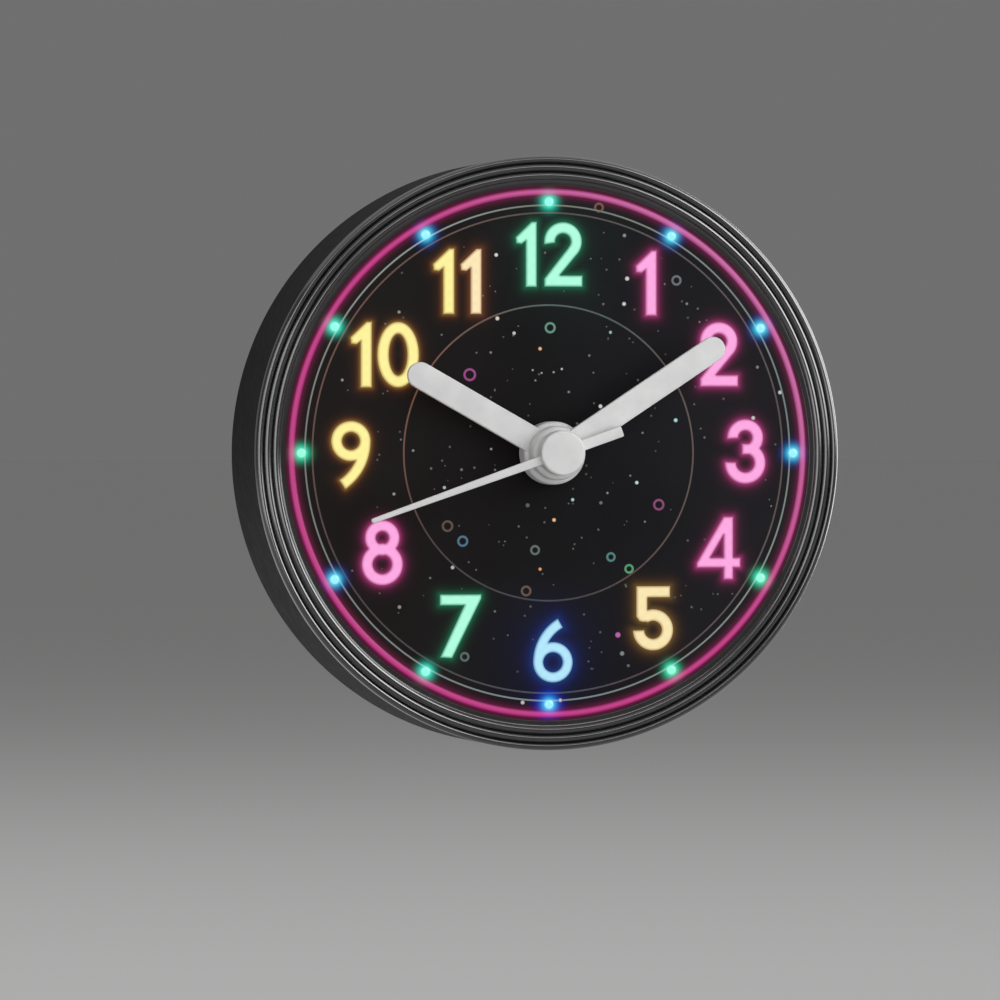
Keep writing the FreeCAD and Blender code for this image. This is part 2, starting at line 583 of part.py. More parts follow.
def movement_plate():
    """Middle plate that carries the pivots between the two layers of wheels."""
    height = INSIDE / 2 - 0.2 - (BAY_WALL_Z + 0.6)
    middle = (INSIDE / 2 - 0.2 + BAY_WALL_Z + 0.6) / 2
    plate = soft_block(INSIDE - 0.4, height, PLATE_BACK, PLATE_FRONT, 2.6, 0, middle)
    holes = [
        (CENTRE, 3.4), (THIRD, PIVOT + 2 * FIT), (INTERMEDIATE, PIVOT + 2 * FIT),
        (ROTOR, 1.4), (SETTING, SETTING_SHAFT + 2 * GAP),
    ]
    for point, hole in holes:
        plate = plate.cut(rod(hole, PLATE_BACK - 1, PLATE_FRONT + 1, *point))
    return plate.cut(block(18.6, 10.0, PLATE_BACK - 1, PLATE_FRONT + 1, 0, COIL_Z + 1.2))


def stator():
    """Soft-iron loop round the rotor magnet and through the coil."""
    back, front = 19.4, 20.2
    yoke = block(27.0, 8.4, back, front, 0, ROTOR[1])
    core = block(27.0, 3.0, back, front, 0, COIL_Z)
    arms = [block(4.0, COIL_Z + 1.5 - ROTOR[1], back, front,
                  side * 11.5, (COIL_Z + 1.5 + ROTOR[1]) / 2) for side in (-1, 1)]
    return fuse([yoke, core] + arms).cut(rod(7.0, back - 1, front + 1, *ROTOR))


def bobbin_sleeve(grow):
    return block(17.0, 3.6 + grow, COIL_DEPTH - 0.9 - grow / 2, COIL_DEPTH + 0.9 + grow / 2,
                 0, COIL_Z)


def coil_bobbin():
    flanges = [block(0.8, 6.6, COIL_DEPTH - 3.3, COIL_DEPTH + 3.3, side * 8.1, COIL_Z)
               for side in (-1, 1)]
    tunnel = block(20.0, 3.1, COIL_DEPTH - 0.45, COIL_DEPTH + 0.45, 0, COIL_Z)
    return fuse([bobbin_sleeve(0.0)] + flanges).cut(tunnel)


def coil_winding():
    wound = crossbar(6.0, -7.6, 7.6, COIL_DEPTH, COIL_Z)
    return wound.cut(bobbin_sleeve(0.1))


def movement_board():
    """Small circuit board with the moulded chip that pulses the coil."""
    board = block(11.0, 15.6, PLATE_FRONT, PLATE_FRONT + 0.8, 19.6, 13.2)
    notch = rod(3.8, PLATE_FRONT - 1, PLATE_FRONT + 2, *CORNER_POSTS[1])
    blob = Part.makeSphere(3.2, V(20.0, -(PLATE_FRONT - 1.2), 17.0))
    blob = blob.common(block(9, 9, PLATE_FRONT + 0.5, PLATE_FRONT + 4, 20.0, 17.0))
    return fuse([board.cut(notch), blob])


def quartz_crystal():
    depth = PLATE_FRONT + 0.8 + 1.05
    return Part.makeCylinder(1.05, 6.0, V(20.0, -depth, 6.6), V(0, 0, 1))


def movement_contacts():
    """Spring strips at both ends of the movement's cell."""
    return [block(0.4, 9.0, MOVEMENT_CELL_DEPTH - 5, MOVEMENT_CELL_DEPTH + 6,
                  side * 25.9, MOVEMENT_CELL_Z) for side in (-1, 1)]


# ---- wheels ----------------------------------------------------------------------------------------------
def half_pitch(teeth):
    return 180 / teeth


def rotor():
    """Magnet and pinion on one arbor; each pulse turns it half a turn."""
    toward = heading(ROTOR, INTERMEDIATE)
    pinion = gear(ROTOR_TEETH, DRIVE_MODULE, 13.1, 14.5, ROTOR, toward + half_pitch(ROTOR_TEETH))
    return fuse([rod(0.8, 12.5, 22.4, *ROTOR), pinion, rod(6.0, 18.8, 20.8, *ROTOR)])


def intermediate_wheel():
    wheel = gear(INTERMEDIATE_TEETH, DRIVE_MODULE, 13.4, 14.1, INTERMEDIATE,
                 heading(INTERMEDIATE, ROTOR))
    toward = heading(INTERMEDIATE, CENTRE)
    pinion = gear(INTERMEDIATE_LEAVES, SECOND_MODULE, 14.1, 16.3, INTERMEDIATE,
                  toward + half_pitch(INTERMEDIATE_LEAVES))
    return fuse([rod(PIVOT, 12.4, PLATE_FRONT - 0.1, *INTERMEDIATE), wheel, pinion])


def second_wheel():
    """Wheel and pinion on the long arbor that carries the second hand."""
    wheel = gear(SECOND_TEETH, SECOND_MODULE, 15.2, 15.9, CENTRE, heading(CENTRE, INTERMEDIATE))
    pinion = gear(SECOND_LEAVES, THIRD_MODULE, 15.9, 19.5, CENTRE,
                  heading(CENTRE, THIRD) + half_pitch(SECOND_LEAVES))
    return fuse([rod(SECOND_SHAFT, 12.4, SECOND_FRONT - 1.6), wheel, pinion])


def third_wheel():
    toward = heading(THIRD, CENTRE)
    wheel = gear(THIRD_TEETH, THIRD_MODULE, 18.5, 19.2, THIRD, toward)
    pinion = gear(THIRD_LEAVES, CENTRE_MODULE, 19.2, 21.3, THIRD, toward + half_pitch(THIRD_LEAVES))
    return fuse([rod(PIVOT, 17.1, 25.4, *THIRD), wheel, pinion])


def centre_wheel():
    """Wheel and cannon pinion on the tube that carries the minute hand."""
    wheel = gear(CENTRE_TEETH, CENTRE_MODULE, 20.0, 20.7, CENTRE, heading(CENTRE, THIRD))
    pinion = gear(CANNON_LEAVES, MOTION_MODULE, 20.7, 22.9, CENTRE,
                  heading(CENTRE, MOTION) + half_pitch(CANNON_LEAVES))
    tube = rod(MINUTE_SHAFT, 19.9, MINUTE_FRONT - 0.9)
    return fuse([tube, wheel, pinion]).cut(rod(SECOND_SHAFT + 2 * FIT, 19, MINUTE_FRONT))


def motion_wheel():
    """Wheel and pinion that turn on a post, between the cannon pinion and the hour wheel."""
    toward = heading(MOTION, CENTRE)
    wheel = gear(MOTION_TEETH, MOTION_MODULE, 21.5, 22.6, MOTION, toward)
    pinion = gear(MOTION_LEAVES, HOUR_MODULE, 22.6, 24.8, MOTION, toward + half_pitch(MOTION_LEAVES))
    return fuse([wheel, pinion]).cut(rod(1.6 + 2 * FIT, 21, 26, *MOTION))


def hour_wheel():
    """Wheel on the pipe that carries the hour hand."""
    wheel = gear(HOUR_TEETH, HOUR_MODULE, 23.4, 24.4, CENTRE, heading(CENTRE, MOTION))
    pipe = rod(HOUR_SHAFT, 23.2, HOUR_FRONT - 1.3)
    return fuse([pipe, wheel]).cut(rod(MINUTE_SHAFT + 2 * FIT, 20, HOUR_FRONT))


def setting_arbor():
    """Arbor that turns the motion wheel when the hands are set by hand."""
    # the motion wheel has a tooth towards the centre, so its tooth nearest the arbor is offset
    step = 360 / MOTION_TEETH
    away = heading(MOTION, SETTING) - heading(MOTION, CENTRE)
    offset = (away / step - round(away / step)) * step * MOTION_TEETH / SETTING_LEAVES
    toward = heading(SETTING, MOTION) + half_pitch(SETTING_LEAVES) + offset
    pinion = gear(SETTING_LEAVES, MOTION_MODULE, 21.3, 22.9, SETTING, toward)
    return fuse([rod(SETTING_SHAFT, 8.4, 25.4, *SETTING), pinion])


def set_knob():
    """Ribbed knob pressed on the setting arbor."""
    knob = gear(30, KNOB_DIAMETER / 31.6, COVER_BACK + 0.5, MOVEMENT_BACK - 0.4, SETTING, 0)
    return knob.cut(rod(SETTING_SHAFT, 8.4, 12, *SETTING))


# ---- cells, tray, door -------------------------------------------------------------------------------------
def cell(depth, z, facing):
    """AA cell along X with its raised end towards facing (+1 or -1)."""
    length = CELL_BODY + CELL_NUB
    start = -length / 2
    can = crossbar(CELL_DIAMETER, start, start + CELL_BODY, depth, z)
    can = can.makeChamfer(0.5, [e for e in can.Edges if len(e.Vertexes) == 1])
    nub = crossbar(5.2, start + CELL_BODY - 0.1, start + length, depth, z)
    whole = can.fuse(nub).removeSplitter()
    if facing < 0:
        whole.rotate(V(0, -depth, z), V(0, 1, 0), 180)
    return whole


TRAY_CELLS = [(TRAY_Z - TRAY_CELL_PITCH / 2, 1), (TRAY_Z + TRAY_CELL_PITCH / 2, -1)]


def battery_tray():
    """Open tray for the two lighting cells, with a tab at each side."""
    tray = block(TRAY_WIDTH, TRAY_HEIGHT, TRAY_BACK, TRAY_FRONT, 0, TRAY_Z)
    tray = tray.cut(block(TRAY_WIDTH - 3.0, TRAY_HEIGHT - 1.4, TRAY_BACK - 1,
                          TRAY_FRONT - 1.0, 0, TRAY_Z))
    saddle = block(20.0, 1.6, TRAY_CELL_DEPTH + 4.4, TRAY_FRONT - 0.9, 0, TRAY_Z)
    for z, _ in TRAY_CELLS:
        saddle = saddle.cut(crossbar(CELL_DIAMETER + 0.2, -20, 20, TRAY_CELL_DEPTH, z))
    tabs = []
    for side in (-1, 1):
        tab = block(6.5, 8.0, COVER_BACK + COVER_THICKNESS, TRAY_BACK + 1.2, side * 32.2, TRAY_Z)
        link = block(1.5, 8.0, TRAY_BACK, TRAY_BACK + 1.2, side * 28.6, TRAY_Z)
        tabs.append(tab.fuse(link).cut(rod(2.2, 7, 12, side * 33.0, TRAY_Z)))
    return fuse([tray, saddle] + tabs)


def tray_contacts():
    """Plates at the ends of the lighting cells, one of them joining both cells."""
    reach = (CELL_BODY + CELL_NUB) / 2 + 0.5
    back, front = TRAY_CELL_DEPTH - 5, TRAY_CELL_DEPTH + 5
    plates = [block(0.4, 8.0, back, front, reach, z) for z, _ in TRAY_CELLS]
    plates.append(block(0.4, 8.0 + TRAY_CELL_PITCH, back, front, -reach, TRAY_Z))
    return plates


def battery_door():
    """Door over all three cells. It hangs on two stub pins along its lower edge."""
    back, front = COVER_BACK, COVER_BACK + COVER_THICKNESS
    bottom = HINGE_Z
    panel = block(DOOR_WIDTH, DOOR_TOP - bottom, back, front, 0, (DOOR_TOP + bottom) / 2)
    barrel = crossbar(2 * HINGE_RADIUS, -DOOR_WIDTH / 2, DOOR_WIDTH / 2, HINGE_DEPTH, HINGE_Z)
    pin = crossbar(2 * HINGE_PIN_RADIUS, -DOOR_WIDTH / 2 - 1.8, DOOR_WIDTH / 2 + 1.8,
                   HINGE_DEPTH, HINGE_Z)
    grooves = [block(24.0, 0.8, back - 1, back + 0.5, 0, DOOR_TOP - 4 - 2 * i) for i in range(4)]
    door = fuse([panel, barrel, pin])
    for groove in grooves:
        door = door.cut(groove)
    return door


# ---- rear cover and hanging --------------------------------------------------------------------------------
DRIVER_X, DRIVER_Z = 47.0, 2.0
DRIVER_WIDTH, DRIVER_HEIGHT = 26.0, 36.0
DRIVER_BACK = 12.0
DRIVER_PINS = [(DRIVER_X + i * 10.5, DRIVER_Z + j * 15.5) for i in (-1, 1) for j in (-1, 1)]
SOCKET_WIDTH, SOCKET_HEIGHT, SOCKET_DEPTH = 7.6, 4.0, 4.6
RING_SOCKET_X, CELL_SOCKET_X, LOW_SOCKET_Z, HIGH_SOCKET_Z = 42.0, 51.0, -13.0, 17.8
LEAD_DEPTH = DRIVER_BACK + 1.2 + SOCKET_DEPTH / 2
LEAD_SPREAD = 1.7           # half the distance between the two wires in a socket


def rear_cover():
    """Plate that closes the case, with the door opening, knob hole, pins and posts."""
    back, front = COVER_BACK, COVER_BACK + COVER_THICKNESS
    cover = rod(2 * (CASE_RADIUS - CASE_WALL - 0.3), back, front)
    posts = [rod(4.0, front - 0.2, DRIVER_BACK, *pin) for pin in DRIVER_PINS]
    pins = [rod(1.9, front - 0.2, DRIVER_BACK + 2.0, *pin) for pin in DRIVER_PINS]
    pins += [rod(2.0, front - 0.2, TRAY_BACK + 2.2, side * 33.0, TRAY_Z) for side in (-1, 1)]
    cover = fuse([cover] + posts + pins)
    open_bottom = HINGE_Z - HINGE_RADIUS - 0.5
    open_top = DOOR_TOP + GAP
    cuts = [
        block(DOOR_WIDTH + 2 * GAP, open_top - open_bottom, back - 1, front + 0.01,
              0, (open_top + open_bottom) / 2),
        block(14.0, 3.0, back - 1, front + 0.01, 0, open_top + 1.4),
        crossbar(2 * (HINGE_PIN_RADIUS + FIT), -DOOR_WIDTH / 2 - 2.2, DOOR_WIDTH / 2 + 2.2,
                 HINGE_DEPTH, HINGE_Z),
        rod(KNOB_DIAMETER + 2.0, back - 1, front + 1, *SETTING),
    ]
    cuts += around(rod(3.4, back - 1, front + 1, 0, SCREW_CIRCLE), SCREW_ANGLES)
    cuts += [rod(2.1, back - 1, front + 1, side * 20.5, HANGER_Z + 2.0) for side in (-1, 1)]
    for cut in cuts:
        cover = cover.cut(cut)
    return cover


def cover_screws():
    """Six pan-head screws with a cross recess."""
    head = rod(5.6, COVER_BACK - 1.9, COVER_BACK, 0, SCREW_CIRCLE)
    head = head.makeFillet(0.9, [head.Edges[i] for i in round_rims(head, COVER_BACK - 1.9)])
    shank = rod(2.5, COVER_BACK, COVER_BACK + 10, 0, SCREW_CIRCLE)
    screw = head.fuse(shank).removeSplitter()
    for width, height in ((3.2, 0.8), (0.8, 3.2)):
        screw = screw.cut(block(width, height, 0, COVER_BACK - 1.0, 0, SCREW_CIRCLE))
    return around(screw, SCREW_ANGLES)


def hanger_plate():
    """Pressed steel bridge with a keyhole; the wall screw's head sits behind it."""
    back, front = HANGER_BACK, HANGER_BACK + HANGER_THICKNESS
    parts = [soft_block(34.0, 20.0, back, front, 2.0, 0, HANGER_Z + 2.0)]
    for side in (-1, 1):
        parts.append(block(HANGER_THICKNESS, 16.0, back + 0.2, COVER_BACK,
                           side * (17.0 - HANGER_THICKNESS / 2), HANGER_Z + 2.0))
        parts.append(block(8.0, 16.0, COVER_BACK - HANGER_THICKNESS, COVER_BACK,
                           side * 20.0, HANGER_Z + 2.0))
    plate = fuse(parts)
    plate = plate.cut(rod(KEYHOLE_ENTRY, 0, front + 1, 0, HANGER_Z))
    plate = plate.cut(block(KEYHOLE_SLOT, 6.0, 0, front + 1, 0, HANGER_Z + 5.0))
    plate = plate.cut(rod(KEYHOLE_SLOT, 0, front + 1, 0, HANGER_Z + 8.0))
    for side in (-1, 1):
        plate = plate.cut(rod(2.1, 0, 7, side * 20.5, HANGER_Z + 2.0))
    return plate


def hanger_rivets():
    """Two round-head rivets through the hanger's feet and the cover."""
    rivets = []
    for side in (-1, 1):
        x, z = side * 20.5, HANGER_Z + 2.0
        seat = COVER_BACK - HANGER_THICKNESS
        head = rod(4.0, seat - 1.2, seat, x, z)
        head = head.makeFillet(0.8, [head.Edges[i] for i in round_rims(head, seat - 1.2)])
        tail = rod(3.2, COVER_BACK + COVER_THICKNESS, COVER_BACK + COVER_THICKNESS + 0.7, x, z)
        shank = rod(2.1, seat - 0.1, COVER_BACK + COVER_THICKNESS + 0.1, x, z)
        rivets.append(fuse([head, shank, tail]))
    return rivets


# ---- switch, driver and leads ----------------------------------------------------------------------------------
def switch_body():
    """Slide switch behind the slot in the case wall at 6 o'clock."""
    depth = SWITCH_DEPTH
    body = block(12.6, 5.6, depth - 2.8, depth + 2.8, 0, -68.9)
    groove = block(SWITCH_TRAVEL + 3.0 + 2 * GAP, 2.4, depth - 1.8, depth + 1.8, 0, -71.2)
    pins = [block(0.6, 2.4, depth - 0.6, depth + 0.6, x, -65.0) for x in (-3.5, 0, 3.5)]
    return fuse([body] + pins).cut(groove)


def switch_slider():
    """Thumbnail slider, flush with the case wall, at the lit end of its travel."""
    depth = SWITCH_DEPTH
    x = -SWITCH_TRAVEL / 2
    stem = block(3.0, 4.1, depth - 1.5, depth + 1.5, x, -72.25)
    for i in (-1, 0, 1):
        stem = stem.cut(block(0.4, 0.8, depth - 2, depth + 2, x + i * 0.9, -74.3))
    return stem


def driver_board():
    board = block(DRIVER_WIDTH, DRIVER_HEIGHT, DRIVER_BACK, DRIVER_BACK + 1.2, DRIVER_X, DRIVER_Z)
    for pin in DRIVER_PINS:
        board = board.cut(rod(2.1, DRIVER_BACK - 1, DRIVER_BACK + 2, *pin))
    return board


def driver_transformer():
    """Ferrite core and winding of the step-up transformer for the neon tube."""
    base = DRIVER_BACK + 1.2
    core = [rod(9.6, base, base + 1.2, DRIVER_X, DRIVER_Z + 6),
            rod(9.6, base + 6.0, base + 7.2, DRIVER_X, DRIVER_Z + 6),
            rod(7.4, base + 1.1, base + 6.1, DRIVER_X, DRIVER_Z + 6)]
    return fuse(core)


def driver_parts():
    """Capacitor, chip and the three lead sockets."""
    base = DRIVER_BACK + 1.2
    parts = [
        rod(6.3, base, base + 7.0, DRIVER_X - 6, DRIVER_Z - 7),
        block(5.0, 6.2, base, base + 1.6, DRIVER_X + 5, DRIVER_Z - 6),
    ]
    places = [(RING_SOCKET_X, LOW_SOCKET_Z), (CELL_SOCKET_X, LOW_SOCKET_Z),
              (DRIVER_X, HIGH_SOCKET_Z)]
    for x, z in places:
        parts.append(block(SOCKET_WIDTH, SOCKET_HEIGHT, base, base + SOCKET_DEPTH, x, z))
    return parts


def lead(points):
    """Insulated wire along straight runs joined by tangent arcs, as (x, depth, z) points."""
    spots = [V(x, -depth, z) for x, depth, z in points]
    edges = []
    start = spots[0]
    for before, corner, after in zip(spots, spots[1:], spots[2:]):
        into = (corner - before).normalize()
        away = (after - corner).normalize()
        turn = into.getAngle(away)
        run = min(corner.distanceToPoint(before), after.distanceToPoint(corner))
        tangent = 0.45 * run
        radius = tangent / math.tan(turn / 2)
        first = corner - into * tangent
        last = corner + away * tangent
        inward = (away - into).normalize()
        middle = corner + inward * (radius / math.cos(turn / 2) - radius)
        edges.append(Part.makeLine(start, first))
        edges.append(Part.Arc(first, middle, last).toShape())
        start = last
    edges.append(Part.makeLine(start, spots[-1]))
    circle = Part.makeCircle(LEAD_DIAMETER / 2, spots[0], spots[1] - spots[0])
    return Part.Wire(edges).makePipeShell([Part.Wire([circle])], True, False)


def battery_leads():
    """Tray to driver, tray to switch, and switch to driver."""
    low = LOW_SOCKET_Z - SOCKET_HEIGHT / 2 - 0.05
    left, right = CELL_SOCKET_X - LEAD_SPREAD, CELL_SOCKET_X + LEAD_SPREAD
    supply = [(TRAY_WIDTH / 2 + 0.2, 20.0, -40.0), (34.0, 19.0, -39.5), (44.0, 16.5, -34.0),
              (left, LEAD_DEPTH, -24.0), (left, LEAD_DEPTH, low)]
    tray_bottom = TRAY_Z - TRAY_HEIGHT / 2 - 0.05
    to_switch = [(-20.0, SWITCH_DEPTH, tray_bottom), (-20.0, SWITCH_DEPTH, -63.9),
                 (-13.0, SWITCH_DEPTH, -64.9), (-3.85, SWITCH_DEPTH, -64.9)]
    switched = [(3.85, SWITCH_DEPTH, -64.9), (9.0, 17.2, -64.7), (19.0, 22.5, -62.9),
                (27.0, 26.3, -58.7), (36.0, 26.2, -47.0), (48.0, 22.0, -36.0),
                (right, LEAD_DEPTH, -24.0), (right, LEAD_DEPTH, low)]
    return [lead(points) for points in (supply, to_switch, switched)]


def board_leads():
    """Two leads from the driver up to the light board."""
    top = HIGH_SOCKET_Z + SOCKET_HEIGHT / 2 + 0.05
    leads = []
    for side in (-1, 1):
        x = DRIVER_X + LEAD_SPREAD * side
        leads.append(lead([(x, LEAD_DEPTH, top), (x, LEAD_DEPTH, top + 5),
                           (x, 20.0, top + 10), (x, BOARD_BACK, top + 10)]))
    return leads


def ring_leads():
    """Two leads from the neon tube, through the layers behind it, to the driver."""
    low = LOW_SOCKET_Z - SOCKET_HEIGHT / 2 - 0.05
    tube_back = DIAL_FRONT + PROUD - NEON_TUBE - 0.1
    depth = 26.3
    left, right = RING_SOCKET_X - LEAD_SPREAD, RING_SOCKET_X + LEAD_SPREAD
    inner = [(-RING_LEAD_X, tube_back, -NEON_CIRCLE), (-RING_LEAD_X, depth, -NEON_CIRCLE),
             (8.0, depth, -61.5), (20.0, depth, -56.5), (32.0, depth, -44.0),
             (39.0, depth, -32.0), (left, 20.0, -24.0), (left, LEAD_DEPTH, -19.5),
             (left, LEAD_DEPTH, low)]
    outer = [(RING_LEAD_X, tube_back, -NEON_CIRCLE), (RING_LEAD_X, depth, -NEON_CIRCLE),
             (11.0, depth, -63.5), (21.5, depth, -58.9), (34.0, depth, -45.6),
             (42.3, depth, -32.0), (right, 20.0, -24.0), (right, LEAD_DEPTH, -19.5),
             (right, LEAD_DEPTH, low)]
    return [lead(points) for points in (inner, outer)]


# ---- write every node ---------------------------------------------------------------------------------------------
HOURS_GREEN = [0, 120, 150, 210, 270, 300]
HOURS_BLUE = [30, 60, 90, 180, 240, 330]

NODES = {
    "case_body": case_body,
    "bezel_ring": bezel_ring,
    "dial_panel": dial_panel,
    "numeral_counters": numeral_counters,
    "neon_ring": neon_ring,
    "marker_lenses_green": lambda: around(marker_lens(), HOURS_GREEN),
    "marker_lenses_blue": lambda: around(marker_lens(), HOURS_BLUE),
    "diffuser_sheet": diffuser_sheet,
    "spacer_ring": spacer_ring,
    "centre_spacer": centre_spacer,
    "light_board": light_board,
    "leds": leds,
    "mounting_gasket": mounting_gasket,
    "bush_washer": bush_washer,
    "bush_nut": bush_nut,
    "hour_hand": hour_hand,
    "minute_hand": minute_hand,
    "second_hand": second_hand,
    "movement_front_shell": movement_front_shell,
    "movement_back_shell": movement_back_shell,
    "movement_plate": movement_plate,
    "stator": stator,
    "coil_bobbin": coil_bobbin,
    "coil_winding": coil_winding,
    "movement_board": movement_board,
    "quartz_crystal": quartz_crystal,
    "movement_contacts": movement_contacts,
    "rotor": rotor,
    "intermediate_wheel": intermediate_wheel,
    "second_wheel": second_wheel,
    "third_wheel": third_wheel,
    "centre_wheel": centre_wheel,
    "motion_wheel": motion_wheel,
    "hour_wheel": hour_wheel,
    "setting_arbor": setting_arbor,
    "set_knob": set_knob,
    "movement_cell": lambda: cell(MOVEMENT_CELL_DEPTH, MOVEMENT_CELL_Z, 1),
    "light_cells": lambda: [cell(TRAY_CELL_DEPTH, z, facing) for z, facing in TRAY_CELLS],
    "battery_tray": battery_tray,
    "tray_contacts": tray_contacts,
    "battery_door": battery_door,
    "rear_cover": rear_cover,
    "cover_screws": cover_screws,
    "hanger_plate": hanger_plate,
    "hanger_rivets": hanger_rivets,
    "switch_body": switch_body,
    "switch_slider": switch_slider,
    "driver_board": driver_board,
    "driver_transformer": driver_transformer,
    "driver_parts": driver_parts,
    "battery_leads": battery_leads,
    "board_leads": board_leads,
    "ring_leads": ring_leads,
}

for name, make in NODES.items():
    save(name, make())

for colour in ("green", "pink", "yellow", "peach", "blue"):
    digits = numeral_solids(colour, DIAL_BACK, DIAL_FRONT + PROUD)
    save("numerals_" + colour, digits if len(digits) > 1 else digits[0])
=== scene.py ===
"""Looks of a round neon-style wall clock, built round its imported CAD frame.

Metres, +Z towards 12 o'clock, +X towards 3 o'clock, and the dial faces -Y. Sizes below are
in millimetres; a depth of d lies at y = -d. Clock angles run clockwise from 12 o'clock.
"""

import json
import math

import bmesh
import bpy
import numpy as np
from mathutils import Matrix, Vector


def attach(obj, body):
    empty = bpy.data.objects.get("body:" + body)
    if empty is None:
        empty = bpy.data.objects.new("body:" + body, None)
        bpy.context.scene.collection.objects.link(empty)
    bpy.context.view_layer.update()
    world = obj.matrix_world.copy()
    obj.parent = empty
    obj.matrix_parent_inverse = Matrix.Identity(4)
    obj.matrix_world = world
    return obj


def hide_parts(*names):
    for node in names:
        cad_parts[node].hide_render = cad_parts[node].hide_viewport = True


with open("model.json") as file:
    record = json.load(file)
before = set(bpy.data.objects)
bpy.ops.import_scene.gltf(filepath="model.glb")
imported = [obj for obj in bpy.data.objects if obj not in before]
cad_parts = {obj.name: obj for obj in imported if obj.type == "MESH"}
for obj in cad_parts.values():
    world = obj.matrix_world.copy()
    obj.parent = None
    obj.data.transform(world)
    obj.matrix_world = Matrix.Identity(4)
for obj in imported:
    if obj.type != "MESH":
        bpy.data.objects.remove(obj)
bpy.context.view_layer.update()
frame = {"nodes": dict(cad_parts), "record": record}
MM = 0.001

# ---- sizes shared with the CAD frame ---------------------------------------------------------
CASE_RADIUS = 75.0
DIAL_FRONT = 37.5
DIAL_BACK = 34.5
BEZEL_FRONT = 39.0
BEZEL_INNER = 67.5
PROUD = 0.4
NUMERAL_CIRCLE = 50.0
NEON_CIRCLE = 65.9
NEON_TUBE = 2.2
MARKER_CIRCLE = 63.4
MARKER_RADIUS = 1.15
HOUR_ANGLE, MINUTE_ANGLE, SECOND_ANGLE = 299.5, 56.6, 250.6


# ---- small mesh helpers ----------------------------------------------------------------------
def make_object(name, vertices, faces, body, slot, smooth=True):
    """Mesh from millimetre (x, depth, z) vertices, riding on a body."""
    mesh = bpy.data.meshes.new(name)
    mesh.from_pydata([(x * MM, -d * MM, z * MM) for x, d, z in vertices], [], faces)
    mesh.validate()
    tidy = bmesh.new()
    tidy.from_mesh(mesh)
    bmesh.ops.recalc_face_normals(tidy, faces=tidy.faces)
    tidy.to_mesh(mesh)
    tidy.free()
    mesh.polygons.foreach_set("use_smooth", [smooth] * len(mesh.polygons))
    made = bpy.data.objects.new(name, mesh)
    bpy.context.scene.collection.objects.link(made)
    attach(made, body)
    return made


def clock_point(radius, angle):
    turn = math.radians(angle)
    return radius * math.sin(turn), radius * math.cos(turn)


def revolve(profile, steps, closed=True):
    """Vertices and faces of a body of revolution from (radius, depth) pairs."""
    vertices, faces = [], []
    count = len(profile)
    for step in range(steps):
        turn = 2 * math.pi * step / steps
        for radius, depth in profile:
            vertices.append((radius * math.sin(turn), depth, radius * math.cos(turn)))
    for step in range(steps):
        ahead = (step + 1) % steps
        for i in range(count if closed else count - 1):
            j = (i + 1) % count
            faces.append((step * count + i, step * count + j, ahead * count + j, ahead * count + i))
    return vertices, faces


def bevel_smooth(made, degrees):
    """Smooth shading that keeps edges sharper than an angle."""
    mesh = made.data
    work = bmesh.new()
    work.from_mesh(mesh)
    for edge in work.edges:
        edge.smooth = len(edge.link_faces) == 2 and edge.calc_face_angle(0) < math.radians(degrees)
    work.to_mesh(mesh)
    work.free()


def set_colours(made, name, colours):
    """Point colours, linear light."""
    layer = made.data.color_attributes.new(name, "FLOAT_COLOR", "POINT")
    rgba = np.ones((len(made.data.vertices), 4), np.float32)
    rgba[:, :3] = colours
    layer.data.foreach_set("color", rgba.ravel())


def linear(red, green, blue):
    """Screen colour 0 to 255 as linear light."""
    def one(value):
        value /= 255
        return value / 12.92 if value <= 0.04045 else ((value + 0.055) / 1.055) ** 2.4
    return np.array([one(red), one(green), one(blue)])


def smoothstep(low, high, value):
    t = np.clip((value - low) / (high - low), 0, 1)
    return t * t * (3 - 2 * t)


